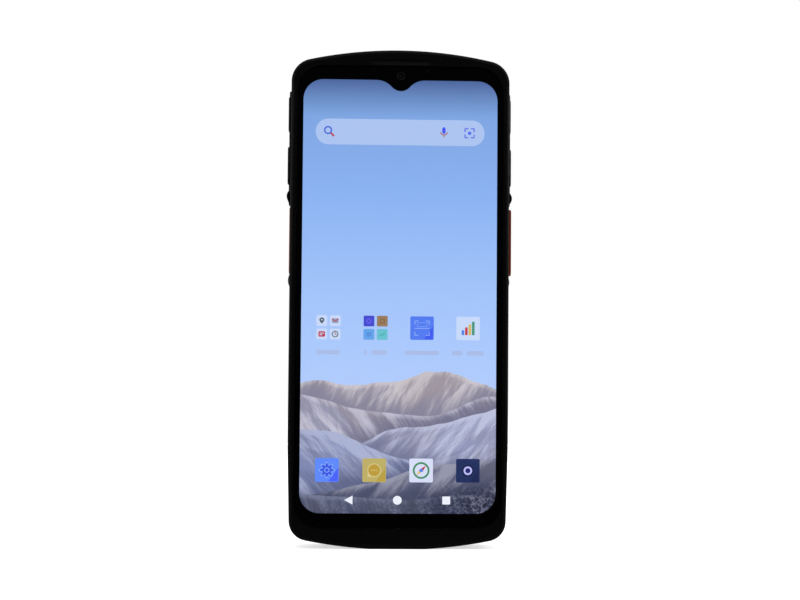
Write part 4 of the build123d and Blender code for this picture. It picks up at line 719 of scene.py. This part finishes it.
def lens_face(name, middle, iris, lip):
    """A camera seen down its barrel: a bluish coated lens inside the iris radius, stepped black
    rings out to the lip radius, and a grey lip, all by the distance from the lens axis."""
    finish = new_finish(name)
    reach = off_axis(finish, middle)
    lens = finish.span(reach, 0.25 * iris, iris, 1.0, 0.0)
    ring_pitch = 0.449 * lip
    steps = finish.wave(reach, ring_pitch)
    rim = finish.span(abs(reach - lip), 0.0, 0.16 * lip, 1.0, 0.0)
    barrel = finish.tint(finish.span(steps, 0.0, 1.0), (0.003, 0.003, 0.004), (0.009, 0.009, 0.011))
    barrel = finish.tint(rim, barrel, (0.028, 0.03, 0.036))
    return finish.surface({
        "Base Color": finish.tint(lens, barrel, (0.008, 0.012, 0.035)),
        "Roughness": 0.16 + 0.3 * rim,
        "Coat Weight": lens,
        "Normal": finish.relief(steps * 0.5 + rim, 0.02),
    })


dress(lens_face("front_lens", middle_of("front_camera"), iris=0.75, lip=1.35), "front_camera")
sensor_black = moulded(
    "sensor_black", (0.012, 0.012, 0.016), roughness=0.3, grain=0.3, depth=0.004, gloss=0.5
)
dress(sensor_black, "light_sensor")
smoked_cap = moulded(
    "smoked_cap", (0.004, 0.004, 0.005), roughness=0.35, grain=0.3, depth=0.003, gloss=0.3
)
dress(smoked_cap, "charge_led")

# ---------------------------------------------------------------- front housing and earpiece
# The front housing is a smooth black polycarbonate frame whose lip stands just proud of the
# glass. Behind its slot at the head lies a woven steel cloth over the earpiece receiver.

smooth_black = moulded(
    "smooth_black", (0.0012, 0.0012, 0.0013), roughness=0.5, grain=0.3, depth=0.003, gloss=0.06
)
dress(smooth_black, "front_housing")


def woven_steel(name, pitch):
    """Steel cloth: crossing wires by two waves, with a painted highlight on the crowns and painted shade,
    black, in the holes.
    """
    finish = new_finish(name)
    x, _, z = finish.parts(finish.place())
    warp = finish.wave(x, pitch)
    weft = finish.wave(z, pitch)
    hole = finish.span(warp * weft, 0.25, 0.6)
    crown = finish.span(warp + weft, -0.5, 1.5)
    # Painted highlight: the wire is lighter on its crowns.
    wire = finish.tint(crown, (0.006, 0.006, 0.007), (0.02, 0.02, 0.022))
    return finish.surface({
        # Painted shade: the holes are black.
        "Base Color": finish.tint(hole, wire, (0.002, 0.002, 0.002)),
        "Metallic": 1 - hole,
        "Roughness": 0.42 + 0.3 * hole,
        "Normal": finish.relief(crown * (1 - hole), 0.05),
    })


steel_cloth = woven_steel("steel_cloth", pitch=0.42)
dress(steel_cloth, "earpiece_mesh")


def pressed_steel(name, colour, roughness, turn=(0, 0, 0)):
    """Pressed or drawn steel: fine noise stretched to long scratches, over a cloudy sheen."""
    finish = new_finish(name)
    scratches = finish.noise(finish.place(turn, (14, 1, 1)), 0.5, 3.0, 0.7)
    sheen = finish.noise(finish.place(), 6.0, 2.0)
    worn = finish.span(sheen * 0.5 + scratches * 0.5, 0.35, 0.65)
    dark = tuple(c * 0.78 for c in colour)
    return finish.surface({
        "Base Color": finish.tint(worn, dark, colour),
        "Metallic": 1.0,
        "Roughness": roughness + 0.2 * (scratches - 0.5),
        "Normal": finish.relief(scratches, 0.004),
    })


steel = pressed_steel("pressed_steel", (0.62, 0.62, 0.63), roughness=0.3)
dress(steel, "earpiece_receiver")

# ---------------------------------------------------------------- boards
# Green glass-fibre boards with copper tracks under the solder mask, tinned steel cans over the
# radio and memory, and amber polyimide film where a circuit has to bend. Chips, switches and
# sounders are in dark moulded plastic, the socket and the card holder of pressed steel.

track_levels = 26


def solder_mask(name):
    """Green lacquer: tracks are level lines of stepped noise, a little lighter and raised."""
    finish = new_finish(name)
    place = finish.place()
    bands = finish.noise(place, 5.0, 1.0)
    steps = finish.node("ShaderNodeMath", {"operation": "FRACT"}, {0: bands * track_levels})
    track = finish.span(abs(steps - 0.5), 0.12, 0.2, 1.0, 0.0)
    vias = finish.span(finish.cells(place, 2.4), 0.16, 0.22, 1.0, 0.0)
    green = finish.tint(track, (0.008, 0.075, 0.04), (0.016, 0.13, 0.07))
    return finish.surface({
        "Base Color": finish.tint(vias, green, (0.55, 0.4, 0.16)),
        "Metallic": vias * 0.8,
        "Roughness": 0.3 + 0.1 * bands,
        "Normal": finish.relief(track + vias, 0.02),
    })


dress(solder_mask("solder_mask"), "mainboard", "sub_board", "key_board_right", "key_board_left")
tinned = pressed_steel("tinned_can", (0.7, 0.7, 0.69), roughness=0.36, turn=(0, 0.8, 0))
dress(tinned, "shield_cans")


def amber_film(name, pitch):
    """Polyimide film over copper tracks: a glossy face with darker stripes by a wave of x."""
    finish = new_finish(name)
    x = finish.parts(finish.place())[0]
    stripe = finish.span(finish.wave(x, pitch), -0.2, 0.3)
    return finish.surface({
        "Base Color": finish.tint(stripe, (0.42, 0.16, 0.025), (0.62, 0.27, 0.06)),
        "Roughness": 0.28 + 0.1 * stripe,
        "Normal": finish.relief(stripe, 0.01),
    })


dress(amber_film("amber_film", pitch=0.898), "main_flex")
dark_parts = moulded(
    "moulded_parts", (0.022, 0.022, 0.024), roughness=0.5, grain=0.35, depth=0.008, gloss=0.4
)
dress(dark_parts, "board_chips", "key_switches", "microphone", "loudspeaker", "usb_tongue")
dress(steel, "vibration_motor", "sim_card_holder", "usb_socket")

# ---------------------------------------------------------------- scanner
# The scan engine looks out of the head through a dark red filter window in a black frame. Its
# two lenses are coated glass.


def coated_glass(name, colour, bloom_colour):
    """Lens glass: nearly black, with a faint bloom of a second colour in soft patches across it."""
    finish = new_finish(name)
    bloom = finish.noise(finish.place(), 3.0, 1.0)
    return finish.surface({
        "Base Color": finish.tint(finish.span(bloom, 0.35, 0.65), colour, bloom_colour),
        "Roughness": 0.04 + 0.04 * bloom,
        "Specular IOR Level": 0.7,
    })


dress(dark_parts, "scan_engine")
dress(coated_glass("engine_lens", (0.008, 0.01, 0.03), (0.03, 0.01, 0.06)), "scan_engine_lens")
red_window = new_finish("red_filter")
streak = red_window.noise(red_window.place(), 5.0, 3.0)
dress(red_window.surface({
    "Base Color": red_window.tint(streak, (0.075, 0.004, 0.006), (0.11, 0.006, 0.009)),
    "Roughness": 0.09 + 0.05 * streak,
    "Specular IOR Level": 0.22,
}), "scan_window")
frame_black = moulded(
    "frame_black", (0.012, 0.012, 0.013), roughness=0.42, grain=0.3, depth=0.006, gloss=0.35
)
dress(frame_black, "scan_window_frame")

# ---------------------------------------------------------------- rear housing and its fittings
# The rear housing is textured black polycarbonate, screwed on with blackened screws over a rubber
# seal. It carries the camera under its anodised ring, the lamp under a ringed cap, the cloth over
# the loudspeaker and the gold-plated charging contacts.

textured_black = moulded(
    "textured_black", (0.0055, 0.0056, 0.0062), roughness=0.58, grain=0.42, depth=0.022, gloss=0.3
)
dress(textured_black, "rear_housing")
oxide = cast_metal("black_oxide", (0.13, 0.13, 0.14), (0.09, 0.09, 0.1), roughness=0.4, lump=0.6)
dress(oxide, "housing_screws")
seal_rubber = moulded(
    "seal_rubber", (0.018, 0.018, 0.019), roughness=0.7, grain=0.4, depth=0.01, gloss=0.25
)
dress(seal_rubber, "housing_seal")
cover_pane = new_finish("camera_cover")
film = cover_pane.noise(cover_pane.place(), 4.0, 2.0)
dress(cover_pane.surface({
    "Base Color": cover_pane.tint(film, (0.9, 0.93, 0.97), (0.97, 0.96, 0.93)),
    "Roughness": 0.01 * film,
    "IOR": 1.45,
    "Transmission Weight": 1.0,
}), "rear_camera_glass")
ring_middle = middle_of("rear_camera_ring")
dress(lens_face("rear_lens", ring_middle, iris=1.3, lip=2.4), "rear_camera")
anodised = new_finish("anodised_ring")
turning_pitch = 0.1047
turning = anodised.wave(off_axis(anodised, ring_middle), turning_pitch)
crown = anodised.span(turning, -1.0, 1.0)
dress(anodised.surface({
    "Base Color": anodised.tint(crown, (0.06, 0.06, 0.066), (0.085, 0.085, 0.092)),
    "Metallic": 1.0,
    "Roughness": 0.34 + 0.06 * turning,
    "Normal": anodised.relief(turning, 0.002),
}), "rear_camera_ring")
phosphor = new_finish("phosphor")
dots = phosphor.cells(phosphor.place(), 0.25)
dress(phosphor.surface({
    "Base Color": phosphor.tint(dots, (0.85, 0.68, 0.14), (0.88, 0.72, 0.19)),
    "Roughness": 0.6,
    "Normal": phosphor.relief(dots, 0.02),
}), "flash_led")
gold = cast_metal("gold_plate", (0.85, 0.62, 0.27), (0.72, 0.5, 0.2), roughness=0.26, lump=0.7)
dress(gold, "pogo_contacts")
dress(dark_parts, "pogo_block")
dress(steel_cloth, "speaker_mesh")


def ringed_lens(name, colour, middle, pitch):
    """Clear plastic with a moulded ring lens: ridges by a wave of the distance from its axis."""
    finish = new_finish(name)
    ridge = finish.wave(off_axis(finish, middle), pitch)
    dull = tuple(c * 0.9 for c in colour)
    return finish.surface({
        "Base Color": finish.tint(finish.span(ridge, -1.0, 1.0), dull, colour),
        "Roughness": 0.2 + 0.06 * ridge,
        "IOR": 1.49,
        "Transmission Weight": 0.85,
        "Normal": finish.relief(ridge, 0.03),
    })


lamp_cap = ringed_lens("lamp_cap", (0.82, 0.83, 0.8), middle_of("flash_lens"), pitch=0.6)
dress(lamp_cap, "flash_lens")

# ---------------------------------------------------------------- battery, door and latch
# The battery is a wrapped pack with a pale band at its head end, lying on the bay floor with the
# antenna's film on its back. The door and its sliding latch are of the same textured plastic as
# the rear housing, and the door turns on a drawn steel pin.

wrap = new_finish("battery_wrap")
wrap_z = wrap.parts(wrap.place())[2]
crease = wrap.noise(wrap.place(stretch=(1, 1, 2.5)), 6.0, 3.0)
battery_top = corners_of("battery_pack")[1].z
head_band = wrap.span(wrap_z, battery_top - 1.9, battery_top - 1.5)
dress(wrap.surface({
    "Base Color": wrap.tint(head_band, (0.035, 0.036, 0.04), (0.12, 0.125, 0.135)),
    "Roughness": 0.38 + 0.15 * crease,
    "Normal": wrap.relief(crease, 0.05),
}), "battery_pack")
dress(dark_parts, "battery_connector")
dress(gold, "battery_contacts")


def beyond(finish, first, second, middle, half):
    """How far a point lies outside a rectangle: the root of the sum of both overshoots squared,
    each of them the distance from the middle less half the size, and at least 0."""
    over = [
        finish.node("ShaderNodeMath", {"operation": "MAXIMUM"}, {0: abs(at - centre) - reach, 1: 0.0})
        for at, centre, reach in zip((first, second), middle, half)
    ]
    return (over[0] * over[0] + over[1] * over[1]) ** 0.5


def antenna_film(name, low, high, corner, pitch):
    """Amber film with copper tracks that run round a rectangle with round corners: stripes by
    the distance from its straight core, which is the box less the corner radius."""
    finish = new_finish(name)
    x, _, z = finish.parts(finish.place())
    middle, half = (low + high) / 2, (high - low) / 2
    distance = beyond(finish, x, z, (middle.x, middle.z), (half.x - corner, half.z - corner))
    track = finish.span(finish.wave(distance, pitch), -0.2, 0.3)
    return finish.surface({
        "Base Color": finish.tint(track, (0.36, 0.13, 0.02), (0.62, 0.27, 0.06)),
        "Roughness": 0.28 + 0.1 * track,
        "Normal": finish.relief(track, 0.01),
    })


coil = antenna_film("antenna_film", *corners_of("nfc_antenna"), corner=8.0, pitch=0.9)
dress(coil, "nfc_antenna")
dress(textured_black, "battery_door", "battery_latch")
dress(seal_rubber, "battery_door_seal")
drawn_steel = pressed_steel("drawn_pin", (0.55, 0.55, 0.56), roughness=0.26, turn=(0, 1.57, 0))
dress(drawn_steel, "battery_door_pin")

# ---------------------------------------------------------------- rails and keys
# Rubber rails run down both flanks, with the keys set through them: two small black ones a side
# and a large orange scan key low on each rail.

rubber = moulded(
    "soft_rubber", (0.0014, 0.0014, 0.0013), roughness=0.66, grain=0.3, depth=0.012, gloss=0.06
)
dress(rubber, "side_rail_right", "side_rail_left")

# A key's flange stands out by this lip round its cap, and the cap has corners of this radius.
key_flange_lip = 0.7
key_corner = 1.5


def key_with_painted_shade(name, cap, root, low, high):
    """A key with a bright cap and painted shade: a dark tone of the cap in a narrow band along the
    cap's outline, painted darker still towards the case."""
    finish = new_finish(name)
    place = finish.place()
    x, y, z = finish.parts(place)
    middle, half = (low + high) / 2, (high - low) / 2
    inset = key_flange_lip + key_corner
    core = (half.y - inset, half.z - inset)
    inward = key_corner - beyond(finish, y, z, (middle.y, middle.z), core)
    top = max(abs(low.x), abs(high.x))
    # Painted shade: the flank darkens towards the case, where it meets the rail.
    shade_towards_case = finish.span(abs(x), top - 1.6, top, 1.0, 0.0)
    skin = finish.noise(place, 0.3, 3.0)
    worn = finish.noise(place, 5.0, 3.0)
    bright = finish.tint(worn, cap, tuple(c * 0.88 for c in cap))
    # The flank's painted shade, darkest next to the case.
    dull = finish.tint(shade_towards_case, root, tuple(c * 0.25 for c in root))
    return finish.surface({
        "Base Color": finish.tint(finish.span(inward, 0.0, 0.3), dull, bright),
        "Roughness": 0.40 + 0.12 * worn,
        "Specular IOR Level": 0.05,
        "Normal": finish.relief(skin, 0.006),
    })


# The cap's orange, and the dark tone of it that is painted shade on each key's flank.
orange = (0.68, 0.098, 0.011)
shaded_orange = (0.15, 0.017, 0.001)
for side in ("right", "left"):
    scan_key = "scan_key_" + side
    dress(key_with_painted_shade("orange_key_" + side, orange, shaded_orange, *corners_of(scan_key)), scan_key)
key_black = moulded(
    "key_black", (0.0034, 0.0034, 0.0038), roughness=0.5, grain=0.3, depth=0.006, gloss=0.25
)
dress(key_black, "power_key", "function_key", "volume_up_key", "volume_down_key")

# ---------------------------------------------------------------- bumpers and port cover
# Head and foot caps of thick rubber are moulded over the housings, and the cover of the
# charging port is of the same rubber on a steel pin.

dress(rubber, "top_bumper", "bottom_bumper", "usb_flap")
dress(drawn_steel, "usb_flap_pin")
